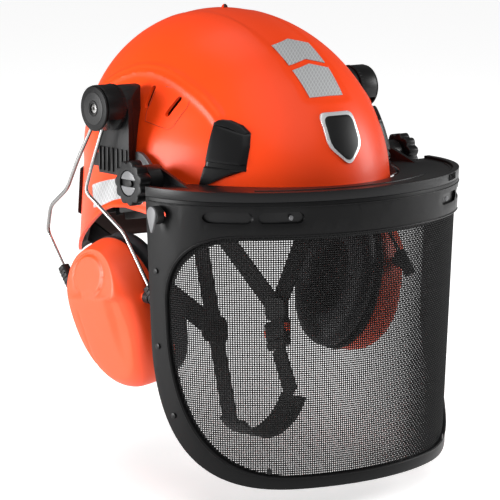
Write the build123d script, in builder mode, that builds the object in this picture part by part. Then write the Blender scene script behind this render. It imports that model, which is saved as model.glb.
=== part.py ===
"""Forestry helmet: shell, harness, mesh visor and ear defenders, each piece a separate solid.

Frame: millimetres, +Z up, the wearer faces -Y and the wearer's right is -X.  The origin is the
middle of the head opening, on the level where the crown's curve meets the upright skirt.
"""
from build123d import *
from math import asin, cos, radians, sin, sqrt
import os

os.makedirs("parts", exist_ok=True)

# ---------------------------------------------------------------- driving sizes: shell
shell_half_width = 108.0
shell_half_length = 144.0
crown_height = 126.0
crown_lean = 0.095          # backward shift of the crown per millimetre of height
shell_centre_y = 4.0
skirt_flare = 0.14          # outward growth of the skirt per millimetre below the crown
shell_wall = 2.6
brow_edge_z = -4.0          # lower edge at the forehead
ear_arch_z = -24.0          # top of the cut-out over the ear
tail_edge_z = -76.0         # lower edge behind the neck
skirt_bottom_z = -92.0      # below every edge, for the cutting solids
trim_gap = 0.05             # between the shell and what is stuck or clipped on it
running_gap = 0.4           # between neighbours that move
shaft_fit = 0.06            # radial play of a turning shaft

# ---------------------------------------------------------------- driving sizes: harness
band_tilt = 10.0            # degrees, lower at the nape
band_centre = (0.0, 4.0, -22.0)
band_half_width = 79.0
band_half_length = 104.0
band_height = 26.0
band_thickness = 2.0
band_rear_y = 80.0          # straight rear stretch, in the band's own plane
band_gap_half = 34.0        # half the opening behind the head
cradle_height = 88.0        # inside height of the crown straps above the band plane
cradle_width = 20.0
cradle_thickness = 1.4
rack_module = 1.0
pinion_teeth = 10
web_width = 19.0
web_thickness = 1.8

# ---------------------------------------------------------------- driving sizes: visor
pivot_y = -45.0
pivot_z = 2.6
pivot_radius = 4.0
visor_half_width = 143.5
visor_depth = 111.0         # from the frame's rear edge to its front
visor_rear_y = -71.0
visor_top_z = -4.0
visor_height = 220.0
visor_taper = 0.06 / 200    # narrowing per millimetre downwards
frame_wall = 2.6
retainer_wall = 1.6
retainer_gap = 0.15         # between the mesh and the rim that holds it
mesh_thickness = 0.8
frame_side = 18.0
frame_head = 26.0
frame_sill = 9.5
guard_wall = 2.5
guard_skirt = 24.0
guard_rim = 7.5             # height of the rim over the mesh frame
guard_clearance = 8.0       # between the shell and the guard's inner edge
lever_y = -88.0             # turning levers that lock the mesh frame to the guard
lever_z = -16.0
lever_pin_radius = 3.0
lever_drum_radius = 7.0
lever_reach = 12.0          # how far the lever stands out from the mesh frame
arm_inner_x = 109.5
arm_wall = 3.2
boss_radius = 12.5
star_radius = 17.0
star_lobes = 11

# ---------------------------------------------------------------- driving sizes: ear defenders
hub_y = 3.0
hub_z = 55.0
hub_radius = 18.0
hub_face_x = 136.0
adapter_face_x = 119.0
adapter_half_width = 20.0
adapter_foot_z = 2.0
adapter_taper = 13.0        # how much narrower the front of the slot adapter is at the shell
flip_x = 129.5
flip_y = 9.0
flip_z = 41.5
flip_barrel_radius = 4.0
wire_diameter = 3.0
cup_centre = (-109.2, -6.5, -103.4)     # middle of the right cup's rim
cup_lean = 17.0             # degrees, lower edge inwards
cup_slant = 7.7             # degrees, long axis down and forwards
cup_half_width = 46.0
cup_half_height = 61.0
cup_depth = 35.5
cup_crown = 15.0            # how much smaller the outer face is than the rim
cup_wall = 2.5
cup_brow = 26.0             # height above the middle where the face starts to slope back
cup_brow_slope = 24.0       # degrees
cushion_depth = 17.0
tilt_x = 128.0
tilt_z = -85.5
slider_span = 57.5          # half the span between the two wire ends
slider_mid_y = -3.0
slide_dir = Vector(0, -0.65, -0.76)


# ================================================================ helpers
def side_prism(outline, x_from, x_to):
    """Prism with a side-view outline of (y, z) points between two x values."""
    with BuildPart() as prism:
        with BuildSketch(Plane.YZ.offset(x_from)):
            with BuildLine():
                Polyline(*outline, close=True)
            make_face()
        extrude(amount=x_to - x_from)
    return prism.part


def front_prism(outline, y_from, y_to):
    """Prism with a front-view outline of (x, z) points between two y values."""
    with BuildPart() as prism:
        with BuildSketch(Plane.XZ.offset(-y_to)):
            with BuildLine():
                Polyline(*outline, close=True)
            make_face()
        extrude(amount=y_to - y_from)
    return prism.part


def plan_prism(outline, z_from, z_to):
    """Prism with a plan-view outline of (x, y) points between two heights."""
    with BuildPart() as prism:
        with BuildSketch(Plane.XY.offset(z_from)):
            with BuildLine():
                Polyline(*outline, close=True)
            make_face()
        extrude(amount=z_to - z_from)
    return prism.part


def dome(offset):
    """Solid under the shell's outer surface moved outwards by offset."""
    radius = shell_half_length + offset
    low_radius = radius - skirt_flare * skirt_bottom_z
    with BuildPart() as body:
        with BuildSketch(Plane.XZ):
            with BuildLine():
                Line((0, skirt_bottom_z), (low_radius, skirt_bottom_z))
                Line((low_radius, skirt_bottom_z), (radius, 0))
                EllipticalCenterArc((0, 0), radius, crown_height + offset, 0, arc_size=90)
                Line((0, crown_height + offset), (0, skirt_bottom_z))
            make_face()
        revolve(axis=Axis.Z)
    squeeze = (shell_half_width + offset) / radius
    stretch = Matrix([
        [squeeze, 0, 0, 0],
        [0, 1, crown_lean, shell_centre_y],
        [0, 0, 1, 0],
        [0, 0, 0, 1],
    ])
    return body.part.transform_geometry(stretch)


def skin(low, high):
    """Layer that lies on the shell between two offsets from its outer surface."""
    return dome(high) - dome(low)


def visor_wall(outset, wall, top_z, bottom_z):
    """Half-oval tapering wall whose outer face is outset from the mesh frame's outer face."""
    top_radius = visor_half_width + outset + (top_z - visor_top_z) * visor_taper * visor_half_width
    low_radius = top_radius - (top_z - bottom_z) * visor_taper * visor_half_width
    with BuildPart() as body:
        with BuildSketch(Plane.XZ):
            with BuildLine():
                Polyline(
                    (low_radius - wall, bottom_z),
                    (low_radius, bottom_z),
                    (top_radius, top_z),
                    (top_radius - wall, top_z),
                    close=True,
                )
            make_face()
        revolve(axis=Axis.Z)
    flatten = Matrix([
        [1, 0, 0, 0],
        [0, visor_depth / visor_half_width, 0, visor_rear_y],
        [0, 0, 1, 0],
        [0, 0, 0, 1],
    ])
    ring = body.part.transform_geometry(flatten)
    reach = 2 * visor_half_width
    front_half = plan_prism(
        [(-reach, visor_rear_y), (reach, visor_rear_y), (reach, -2 * reach), (-reach, -2 * reach)],
        bottom_z - 1, top_z + 1,
    )
    return ring & front_half


def visor_outline(margin_rear, margin_top, margin_low):
    """Side-view region inside the mesh frame's outline, each border drawn in by its margin."""
    rear = visor_rear_y - margin_rear
    top = visor_top_z - margin_top
    bottom = visor_top_z - visor_height + margin_low
    front = visor_rear_y - visor_depth - 20
    low_corner_y = 89.0 - 0.9 * margin_rear
    low_corner_z = 109.0 + 0.2 * margin_rear
    with BuildPart() as prism:
        with BuildSketch(Plane.YZ.offset(-2 * visor_half_width)):
            with BuildLine():
                if margin_top > 0:
                    EllipticalCenterArc((rear - 55, top - 54), 55, 54, 0, arc_size=90)
                    Line((rear - 55, top), (front, top))
                    Line((rear, top - 54), (rear, bottom + low_corner_z))
                else:
                    Line((rear, top), (front, top))
                    Line((rear, top), (rear, bottom + low_corner_z))
                Line((front, top), (front, bottom))
                Line((front, bottom), (rear - low_corner_y, bottom))
                EllipticalCenterArc(
                    (rear - low_corner_y, bottom + low_corner_z), low_corner_y, low_corner_z,
                    270, arc_size=90,
                )
            make_face()
        extrude(amount=4 * visor_half_width)
    return prism.part


def web(start, end, facing, width=web_width, thickness=web_thickness):
    """Straight length of webbing between two points, its flat side turned to facing."""
    along = Vector(*end) - Vector(*start)
    across = along.cross(Vector(*facing))
    with BuildPart() as strip:
        with BuildSketch(Plane(origin=start, x_dir=across, z_dir=along)):
            Rectangle(width, thickness)
        extrude(amount=along.length)
    return strip.part


def round_bar(centre_y, centre_z, radius, x_from, x_to):
    """Cylinder along X."""
    with BuildPart() as bar:
        with BuildSketch(Plane.YZ.offset(x_from)):
            with Locations((centre_y, centre_z)):
                Circle(radius)
        extrude(amount=x_to - x_from)
    return bar.part


def write_mirrored_group(right_piece, node):
    """Writes a right-hand piece and its mirror image together as one node of two solids."""
    with BuildPart() as both_sides:
        add(right_piece.part)
        add(mirror(right_piece.part, about=Plane.YZ))
    both_sides.part.label = node
    export_step(both_sides.part, f"parts/{node}.step")


def write_pair(right_piece, node):
    """Writes a right-hand piece and its mirror image for the left."""
    right_piece.part.label = f"{node}_right"
    export_step(right_piece.part, f"parts/{node}_right.step")
    with BuildPart() as left_piece:
        add(mirror(right_piece.part, about=Plane.YZ))
    left_piece.part.label = f"{node}_left"
    export_step(left_piece.part, f"parts/{node}_left.step")


far = 400.0                                   # beyond the whole object, for cutting solids
outer_dome = dome(0.0)
inner_dome = dome(-shell_wall)

# ================================================================ shell and its trim
with BuildPart() as shell:
    add(outer_dome)
    add(inner_dome, mode=Mode.SUBTRACT)
    with BuildSketch(Plane.YZ.offset(-far)):
        with BuildLine():
            Polyline((-far, far), (-far, brow_edge_z), (-74, brow_edge_z), (-56, -28), (-36, -28))
            ThreePointArc((-36, -28), (0, ear_arch_z), (46, -38))
            Polyline((46, -38), (98, -68), (112, tail_edge_z), (far, tail_edge_z), (far, far), (-far, far))
        make_face()
    extrude(amount=2 * far, mode=Mode.INTERSECT)
    for slot_y, slot_z, slot_turn in ((-7.5, 62.0, 90), (-34.3, 56.5, 115)):
        with BuildSketch(Plane.YZ.offset(-far)):
            with Locations((slot_y, slot_z)):
                SlotOverall(17, 4.5, rotation=slot_turn)
        extrude(amount=2 * far, mode=Mode.SUBTRACT)
shell.part.label = "shell"
export_step(shell.part, "parts/shell.step")

tape = skin(trim_gap, trim_gap + 0.5)
tape_outlines = {
    "front_reflector_upper": [(-20, 102), (0, 106.5), (20, 102), (19, 88), (0, 92), (-19, 88)],
    "front_reflector_lower": [(-19, 85), (0, 89), (19, 85), (17, 65), (0, 65.5), (-17, 65)],
}
for node, outline in tape_outlines.items():
    with BuildPart() as reflector:
        add(tape)
        add(front_prism(outline, -far, 0), mode=Mode.INTERSECT)
    reflector.part.label = node
    export_step(reflector.part, f"parts/{node}.step")

with BuildPart() as crown_reflector:
    add(tape)
    add(plan_prism([(-20, 9), (0, 4), (20, 9), (20, -16), (0, -21), (-20, -16)], 60, far),
        mode=Mode.INTERSECT)
crown_reflector.part.label = "crown_reflector"
export_step(crown_reflector.part, "parts/crown_reflector.step")

with BuildPart() as side_reflector:
    add(tape)
    add(side_prism([(-22, -1), (14, -3), (56, -13), (52, -31), (36, -28), (8, -19), (-20, -19)], -far, 0),
        mode=Mode.INTERSECT)
write_mirrored_group(side_reflector, "side_reflectors")

with BuildPart() as front_plaque:
    add(skin(trim_gap, trim_gap + 1.3))
    with BuildSketch(Plane.XZ.offset(0)):
        with Locations((0, 34)):
            RectangleRounded(32, 40, 11)
    extrude(amount=far, mode=Mode.INTERSECT)
front_plaque.part.label = "front_plaque"
export_step(front_plaque.part, "parts/front_plaque.step")

clip_layer = skin(trim_gap, 5.0)
with BuildPart() as lamp_clip_front:
    add(clip_layer)
    add(side_prism([(-74.5, 46), (-78, 49.5), (-84, 49), (-92, 45.5), (-98, 40), (-101, 28), (-102.5, 11.6),
                    (-72, -1.8), (-74, 14)], -far, 0), mode=Mode.INTERSECT)
write_mirrored_group(lamp_clip_front, "lamp_clips_front")

with BuildPart() as lamp_clip_rear:
    add(clip_layer)
    add(side_prism([(100, -4), (122, -6), (124, -50), (104, -46)], -far, 0), mode=Mode.INTERSECT)
write_mirrored_group(lamp_clip_rear, "lamp_clips_rear")

# ================================================================ harness
tilt_rad = radians(band_tilt)
band_plane = Plane(origin=band_centre, x_dir=(1, 0, 0), z_dir=(0, sin(tilt_rad), cos(tilt_rad)))
band_up = Vector(0, sin(tilt_rad), cos(tilt_rad))
band_back = Vector(0, cos(tilt_rad), -sin(tilt_rad))


def band_point(x, y, z):
    """Point given in the headband's own tilted plane."""
    return Vector(*band_centre) + Vector(x, 0, 0) + band_back * y + band_up * z


straight_half = band_half_width * sqrt(1 - (band_rear_y / band_half_length) ** 2)
with BuildPart() as headband:
    with BuildSketch(band_plane.offset(-band_height / 2)):
        Ellipse(band_half_width + band_thickness, band_half_length + band_thickness)
        Ellipse(band_half_width, band_half_length, mode=Mode.SUBTRACT)
        with Locations((0, band_rear_y + far / 2)):
            Rectangle(far, far, mode=Mode.SUBTRACT)
        for sign in (-1, 1):
            with Locations((sign * (band_gap_half + straight_half + 1) / 2, band_rear_y - band_thickness / 2)):
                Rectangle(straight_half + 1 - band_gap_half, band_thickness)
    extrude(amount=band_height)
headband.part.label = "headband"
export_step(headband.part, "parts/headband.step")

pad_gap = 0.3
with BuildPart() as brow_sweatband:
    with BuildSketch(band_plane.offset(-band_height / 2 - 1)):
        Ellipse(band_half_width - pad_gap, band_half_length - pad_gap)
        Ellipse(band_half_width - 4.5, band_half_length - 4.5, mode=Mode.SUBTRACT)
        with Locations((0, far / 2 - 50)):
            Rectangle(far, far, mode=Mode.SUBTRACT)
    extrude(amount=band_height + 2)
brow_sweatband.part.label = "brow_sweatband"
export_step(brow_sweatband.part, "parts/brow_sweatband.step")

cradle_turns = (0.0, 50.0, 130.0)
cradle_gap = 3.4            # between the band and the straight legs of the straps


def band_radius(turn, outset):
    """Distance from the band's centre to its outside in the direction of turn, plus outset."""
    half_width = band_half_width + band_thickness + outset
    half_length = band_half_length + band_thickness + outset
    return 1 / sqrt((cos(radians(turn)) / half_width) ** 2 + (sin(radians(turn)) / half_length) ** 2)


def cradle_plane(turn):
    """Upright plane through the band's centre along the direction of turn."""
    along = Vector(cos(radians(turn)), 0, 0) + band_back * sin(radians(turn))
    return Plane(origin=band_centre, x_dir=along, z_dir=along.cross(band_up))


with BuildPart() as crown_straps:
    for turn in cradle_turns:
        reach = band_radius(turn, cradle_gap)
        rise = cradle_height - band_height / 2
        with BuildSketch(cradle_plane(turn)):
            with Locations((0, band_height / 2)):
                Ellipse(reach + cradle_thickness, rise + cradle_thickness)
                Ellipse(reach, rise, mode=Mode.SUBTRACT)
            with Locations((0, -far / 2 + band_height / 2)):
                Rectangle(far, far, mode=Mode.SUBTRACT)
            with GridLocations(2 * reach + cradle_thickness, 0, 2, 1):
                with Locations((0, band_height / 4 - 3)):
                    Rectangle(cradle_thickness, band_height / 2 + 6)
        extrude(amount=cradle_width / 2, both=True)
crown_straps.part.label = "crown_straps"
export_step(crown_straps.part, "parts/crown_straps.step")

with BuildPart() as crown_pad:
    with BuildSketch(band_plane.offset(cradle_height - 17)):
        Ellipse(30, 36)
    extrude(amount=9)
crown_pad.part.label = "crown_pad"
export_step(crown_pad.part, "parts/crown_pad.step")

anchor_height = 15.0
with BuildPart() as strap_anchors:
    for turn in cradle_turns:
        for sign in (-1, 1):
            reach = band_radius(turn, cradle_gap) + cradle_thickness + 0.1
            with BuildSketch(cradle_plane(turn)):
                with Locations((sign * (reach + 30), 1)):
                    Rectangle(60, anchor_height)
            extrude(amount=cradle_width / 2, both=True)
    add(dome(-shell_wall - 3 * trim_gap), mode=Mode.INTERSECT)
strap_anchors.part.label = "strap_anchors"
export_step(strap_anchors.part, "parts/strap_anchors.step")

# ---------------------------------------------------------------- nape fit: racks, pinion, housing, knob
pitch_radius = rack_module * pinion_teeth / 2
tooth_pitch = 3.1416 * rack_module
rack_y = band_rear_y + running_gap
rack_wall = 2.2
tooth_height = 1.9 * rack_module
rack_root = pitch_radius + 1.05 * rack_module
rack_bar = 5.0
housing_wall = 1.8
housing_half_width = band_gap_half + 8
housing_back_y = rack_y + rack_wall + running_gap + housing_wall


def nape_plane(y):
    """Plane across the nape at a distance y behind the band's centre, x to the left, y up."""
    return Plane(origin=band_point(0, y, 0), x_dir=(-1, 0, 0), z_dir=band_back)


def rack_tooth_points(centre, side):
    """Corners of one rack tooth that points at the pinion."""
    root_half = 0.74
    tip_half = 0.3
    root = side * (rack_root + 0.2)
    tip = side * (rack_root - tooth_height)
    return [(centre - root_half, root), (centre - tip_half, tip), (centre + tip_half, tip), (centre + root_half, root)]


def make_size_tab(side):
    """Size tab with its rack; side +1 runs over the pinion from the right, -1 under it from the left."""
    with BuildPart() as tab:
        with BuildSketch(nape_plane(rack_y)):
            with Locations((side * 17, side * (rack_root + rack_bar / 2))):
                Rectangle(58, rack_bar)
            for number in range(-4, 4):
                with BuildLine():
                    Polyline(*rack_tooth_points(tooth_pitch * (number + 0.5), side), close=True)
                make_face()
        extrude(amount=rack_wall)
    return tab


size_tab_right = make_size_tab(1)
size_tab_right.part.label = "size_tab_right"
export_step(size_tab_right.part, "parts/size_tab_right.step")
size_tab_left = make_size_tab(-1)
size_tab_left.part.label = "size_tab_left"
export_step(size_tab_left.part, "parts/size_tab_left.step")

knob_shaft_radius = 2.5
knob_y = housing_back_y + running_gap
with BuildPart() as fit_pinion:
    with BuildSketch(nape_plane(rack_y)):
        Circle(pitch_radius - 1.15 * rack_module)
        with PolarLocations(pitch_radius - 0.225, pinion_teeth, start_angle=90):
            Trapezoid(2.2, 2.15, 66, rotation=-90)
    extrude(amount=rack_wall)
    with BuildSketch(nape_plane(rack_y + rack_wall)):
        Circle(knob_shaft_radius)
    extrude(amount=knob_y - rack_y - rack_wall)
fit_pinion.part.label = "fit_pinion"
export_step(fit_pinion.part, "parts/fit_pinion.step")

with BuildPart() as fit_knob:
    with BuildSketch(nape_plane(knob_y)):
        Circle(15)
        with PolarLocations(15.4, 18):
            Circle(1.1, mode=Mode.SUBTRACT)
    extrude(amount=11, taper=3)
    with BuildSketch(nape_plane(knob_y + 11)):
        Circle(9)
    extrude(amount=-2, mode=Mode.SUBTRACT)
fit_knob.part.label = "fit_knob"
export_step(fit_knob.part, "parts/fit_knob.step")

housing_half_height = rack_root + rack_bar + running_gap + housing_wall
with BuildPart() as fit_housing:
    with BuildSketch(nape_plane(housing_back_y - housing_wall)):
        RectangleRounded(2 * housing_half_width, 2 * housing_half_height, 6)
        Circle(knob_shaft_radius + shaft_fit, mode=Mode.SUBTRACT)
    extrude(amount=housing_wall)
    with BuildSketch(nape_plane(rack_y)):
        with GridLocations(0, 2 * housing_half_height - housing_wall, 1, 2):
            Rectangle(2 * housing_half_width - 12, housing_wall)
    extrude(amount=housing_back_y - housing_wall - rack_y)
fit_housing.part.label = "fit_housing"
export_step(fit_housing.part, "parts/fit_housing.step")

with BuildPart() as nape_pad:
    with BuildSketch(nape_plane(rack_y - pad_gap)):
        RectangleRounded(2 * band_gap_half - 2, 2 * housing_half_height + 8, 8)
    extrude(amount=-6)
nape_pad.part.label = "nape_pad"
export_step(nape_pad.part, "parts/nape_pad.step")

# ================================================================ chin straps
yoke_left = (56.0, 18.0, -128.0)       # where the two left webs meet
yoke_right = (-62.0, -50.0, -119.0)
facing_side = (1, 0, 0)
web_routes = {
    "chin_webs_left": [((94.0, 8.0, -34.0), yoke_left), ((62.0, 119.0, -62.0), yoke_left)],
    "chin_webs_right": [((-86.0, -58.0, -30.0), yoke_right), ((-62.0, 119.0, -62.0), yoke_right)],
    "lower_web_right": [(yoke_right, (-42.0, -44.0, -196.0))],
    "lower_web_left": [((49.0, 8.0, -158.0), (36.0, -26.0, -190.0))],
}
for node, runs in web_routes.items():
    with BuildPart() as chin_web:
        for start, end in runs:
            add(web(start, end, facing_side))
    chin_web.part.label = node
    export_step(chin_web.part, f"parts/{node}.step")

with BuildPart() as web_dividers:
    for centre in (yoke_left, yoke_right):
        with BuildSketch(Plane.YZ.offset(centre[0] - 2.5)):
            with Locations((centre[1], centre[2])):
                RectangleRounded(27, 22, 6)
        extrude(amount=5)
web_dividers.part.label = "web_dividers"
export_step(web_dividers.part, "parts/web_dividers.step")

with BuildPart() as chin_pad:
    with BuildSketch(Plane(origin=(0, -37, 0), x_dir=(1, 0.2, 0), z_dir=(0.2, -1, 0.0))):
        with BuildLine():
            ThreePointArc((-42, -197), (-4, -215), (36, -191))
            Line((36, -191), (34.6, -188.9))
            ThreePointArc((34.6, -188.9), (-4, -212.2), (-40.4, -194.8))
            Line((-40.4, -194.8), (-42, -197))
        make_face()
    extrude(amount=13, both=True)
chin_pad.part.label = "chin_pad"
export_step(chin_pad.part, "parts/chin_pad.step")

# ---------------------------------------------------------------- side-release buckle on the left web
buckle_top = Vector(*yoke_left) + Vector(-2.2, -3.0, -9.0)
buckle_down = Vector(-4.8, -9.0, -21.0).normalized()


def buckle_block(width, length, start, depth, radius):
    """Flat block of the buckle, start millimetres down the web."""
    with BuildPart() as block:
        with BuildSketch(Plane(origin=buckle_top + buckle_down * start, x_dir=buckle_down,
                               z_dir=buckle_down.cross(buckle_down.cross(Vector(1, 0, 0))))):
            with Locations((length / 2, 0)):
                RectangleRounded(length, width, radius)
        extrude(amount=depth / 2, both=True)
    return block.part


button_start = 4.5          # along the web, from the buckle's upper end
button_length = 7.0
button_depth = 4.6
button_inner = 9.6          # across the web, from the buckle's middle
with BuildPart() as buckle_socket:
    add(buckle_block(25, 16, 0, 8, 2))
    add(buckle_block(17, 14, 3, 4.4, 1), mode=Mode.SUBTRACT)
    add(buckle_block(27, button_length + 1, button_start - 0.5, button_depth + 0.8, 0.5), mode=Mode.SUBTRACT)
buckle_socket.part.label = "buckle_socket"
export_step(buckle_socket.part, "parts/buckle_socket.step")

with BuildPart() as buckle_plug:
    add(buckle_block(25, 7, 16.2, 7, 2))
    add(buckle_block(9, 14, 4.5, 3.6, 1))
buckle_plug.part.label = "buckle_plug"
export_step(buckle_plug.part, "parts/buckle_plug.step")

buckle_across = buckle_down.cross(Vector(1, 0, 0)).normalized()
for node, side in (("buckle_button_front", -1), ("buckle_button_rear", 1)):
    with BuildPart() as buckle_button:
        button_root = buckle_top + buckle_down * (button_start + button_length / 2)
        with BuildSketch(Plane(origin=button_root + buckle_across * side * button_inner,
                               x_dir=buckle_down, z_dir=buckle_across * side)):
            RectangleRounded(button_length, button_depth, 1)
        extrude(amount=6.4)
    buckle_button.part.label = node
    export_step(buckle_button.part, f"parts/{node}.step")

# ================================================================ visor
with BuildPart() as right_half:
    add(visor_wall(0, frame_wall, visor_top_z, visor_top_z - visor_height))
    for slot_x, slot_length in ((-115, 26), (-84, 30)):
        with BuildSketch(Plane.XZ.offset(-visor_rear_y)):
            with Locations((slot_x, visor_top_z - 11.5)):
                SlotOverall(slot_length, 8.5)
        extrude(amount=far, mode=Mode.SUBTRACT)
    add(round_bar(lever_y, lever_z, lever_pin_radius + 1, -far, 0), mode=Mode.SUBTRACT)
    add(visor_outline(0, 0, 0), mode=Mode.INTERSECT)
    add(visor_outline(frame_side, frame_head, frame_sill), mode=Mode.SUBTRACT)
    add(plan_prism([(0, 0), (0, -far), (-far, -far), (-far, 0)], -far, far), mode=Mode.INTERSECT)
with BuildPart() as visor_frame:
    add(right_half.part)
    add(mirror(right_half.part, about=Plane.YZ))
visor_frame.part.label = "visor_frame"
export_step(visor_frame.part, "parts/visor_frame.step")

with BuildPart() as visor_mesh:
    add(visor_wall(-frame_wall - 0.02, mesh_thickness, visor_top_z, visor_top_z - visor_height))
    add(visor_outline(frame_side - 6, frame_head - 2, frame_sill - 5), mode=Mode.INTERSECT)
visor_mesh.part.label = "visor_mesh"
export_step(visor_mesh.part, "parts/visor_mesh.step")

with BuildPart() as visor_retainer:
    add(visor_wall(-frame_wall - mesh_thickness - retainer_gap, retainer_wall, visor_top_z, visor_top_z - visor_height))
    add(visor_outline(frame_side - 10, frame_head - 1.8, frame_sill - 7.5), mode=Mode.INTERSECT)
    add(visor_outline(frame_side, frame_head + 3, frame_sill), mode=Mode.SUBTRACT)
visor_retainer.part.label = "visor_retainer"
export_step(visor_retainer.part, "parts/visor_retainer.step")

guard_outset = -frame_wall - 0.2
plate_top_z = visor_top_z + guard_rim - 2.0
guard_inner_width = shell_half_width + guard_clearance
guard_inner_length = shell_half_length + guard_clearance
with BuildPart() as brow_guard:
    add(visor_wall(guard_outset, guard_wall, visor_top_z + guard_rim, visor_top_z - guard_skirt + 1))
    add(visor_wall(0, frame_wall + guard_wall, visor_top_z + guard_rim, visor_top_z + 0.3))
    with BuildSketch(Plane.XY.offset(plate_top_z - guard_wall)):
        with Locations((0, visor_rear_y)):
            Ellipse(visor_half_width - frame_wall, visor_depth - frame_wall)
        with Locations((0, shell_centre_y)):
            Ellipse(guard_inner_width, guard_inner_length, mode=Mode.SUBTRACT)
        with Locations((0, visor_rear_y + far / 2)):
            Rectangle(far, far, mode=Mode.SUBTRACT)
    extrude(amount=guard_wall)
    for sign in (-1, 1):
        ear_x = sign * (arm_inner_x + arm_wall + running_gap)
        with BuildSketch(Plane.YZ.offset(min(ear_x, ear_x + sign * 3.0))):
            with BuildLine():
                Polyline((pivot_y, pivot_z - boss_radius), (-88, -14), (-88, plate_top_z), (pivot_y, pivot_z + boss_radius),
                         close=True)
            make_face()
            with Locations((pivot_y, pivot_z)):
                Circle(boss_radius)
        extrude(amount=3.0)
        with BuildSketch(Plane.YZ.offset(min(ear_x, ear_x + sign * 15))):
            with Locations((pivot_y, pivot_z)):
                Circle(boss_radius)
        extrude(amount=15)
        with BuildSketch(Plane.YZ.offset(min(ear_x, sign * (visor_half_width - 4)))):
            with Locations((-79, -4)):
                Rectangle(15, 4)
        extrude(amount=abs(sign * (visor_half_width - 4) - ear_x))
    add(round_bar(pivot_y, pivot_z, pivot_radius + shaft_fit, -far, far), mode=Mode.SUBTRACT)
    add(round_bar(lever_y, lever_z, lever_pin_radius + shaft_fit, -far, far), mode=Mode.SUBTRACT)
brow_guard.part.label = "brow_guard"
export_step(brow_guard.part, "parts/brow_guard.step")

# ---------------------------------------------------------------- carrier arms, pivot pins and star knobs
boss_face_x = arm_inner_x + arm_wall + running_gap + 15.0
knob_inner_x = boss_face_x + running_gap
with BuildPart() as visor_arm:
    with BuildSketch(Plane.YZ.offset(-arm_inner_x - arm_wall)):
        with BuildLine():
            Spline((-19, 21.5), (-30, 17), (-37, 11), (-52, 3.3), (-70, -8))
            Line((-70, -8), (-60, -12.5))
            Spline((-60, -12.5), (-40, -11), (-16, -4))
            Line((-16, -4), (-16, 21.5))
            Line((-16, 21.5), (-19, 21.5))
        make_face()
    extrude(amount=arm_wall)
    add(round_bar(pivot_y, pivot_z, pivot_radius, -knob_inner_x - 2, -arm_inner_x - arm_wall + 0.5))
write_mirrored_group(visor_arm, "visor_arms")

with BuildPart() as star_knob:
    with BuildSketch(Plane.YZ.offset(-knob_inner_x - 11)):
        with Locations((pivot_y, pivot_z)):
            Circle(star_radius - 2.2)
            with PolarLocations(star_radius - 2.6, star_lobes):
                Circle(2.8)
    extrude(amount=11)
    with BuildSketch(Plane.YZ.offset(-knob_inner_x - 11)):
        with Locations((pivot_y, pivot_z)):
            Circle(9.5)
            Rectangle(24, 3.4, mode=Mode.SUBTRACT)
    extrude(amount=1.6, mode=Mode.SUBTRACT)
    with BuildSketch(Plane.YZ.offset(-knob_inner_x - 2.2)):
        with Locations((pivot_y, pivot_z)):
            Circle(pivot_radius + shaft_fit)
    extrude(amount=2.2, mode=Mode.SUBTRACT)
write_pair(star_knob, "star_knob")

# ---------------------------------------------------------------- locking levers and rivets of the mesh frame
lever_face = visor_half_width * sqrt(1 - ((lever_y - visor_rear_y) / visor_depth) ** 2) + 0.5
with BuildPart() as lock_lever:
    add(round_bar(lever_y, lever_z, lever_drum_radius, -lever_face - lever_reach, -lever_face - 0.8))
    with BuildSketch(Plane.YZ.offset(-lever_face - lever_reach - 0.5)):
        with Locations((lever_y, lever_z - 7)):
            Rectangle(6, 12)
    extrude(amount=3.0)
    add(round_bar(lever_y, lever_z, lever_pin_radius, -lever_face - 2, -lever_face + frame_wall + guard_wall + 1))
write_pair(lock_lever, "lock_lever")

rivet_marks = ((-80, -60), (-79, -118), (-92, -170), (-150, -209))
with BuildPart() as frame_rivets:
    for sign in (-1, 1):
        for mark_y, mark_z in rivet_marks:
            shrink = 1 - visor_taper * (visor_top_z - mark_z)
            reach_y = (visor_rear_y - mark_y) / (visor_depth * shrink)
            angle = asin(min(1, reach_y))
            mark_x = sign * visor_half_width * shrink * cos(angle)
            outward = Vector(sign * cos(angle) / visor_half_width, -sin(angle) / visor_depth, 0).normalized()
            with BuildSketch(Plane(origin=(mark_x, mark_y, mark_z), z_dir=outward).offset(0.25)):
                Circle(2.2)
            extrude(amount=1.0)
frame_rivets.part.label = "frame_rivets"
export_step(frame_rivets.part, "parts/frame_rivets.step")

# ================================================================ ear defenders (right side, mirrored)
with BuildPart() as slot_adapter:
    with BuildSketch(Plane.YZ.offset(-adapter_face_x)):
        with Locations((hub_y + 1, (adapter_foot_z + hub_z) / 2)):
            Rectangle(2 * adapter_half_width, hub_z - adapter_foot_z)
        with Locations((hub_y, hub_z)):
            Circle(hub_radius - 1)
    extrude(amount=adapter_face_x - 98)
    with BuildSketch(Plane.YZ.offset(-adapter_face_x + 3)):
        with Locations((hub_y + adapter_half_width + 7, adapter_foot_z + 9)):
            Rectangle(13, 10)
    extrude(amount=adapter_face_x - 101)
    adapter_front_y = hub_y + 1 - adapter_half_width
    add(plan_prism([(-adapter_face_x, adapter_front_y), (-98, adapter_front_y + adapter_taper), (-98, -60),
                    (-adapter_face_x, -60)], 0, hub_z + 2 * hub_radius), mode=Mode.SUBTRACT)
    add(dome(trim_gap + 0.2), mode=Mode.SUBTRACT)
    add(side_prism([(-50, 22), (-50, -30), (-10, -30), (-10, 22)], -arm_inner_x - arm_wall - 0.2, -arm_inner_x + 0.2),
        mode=Mode.SUBTRACT)
write_pair(slot_adapter, "slot_adapter")

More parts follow.
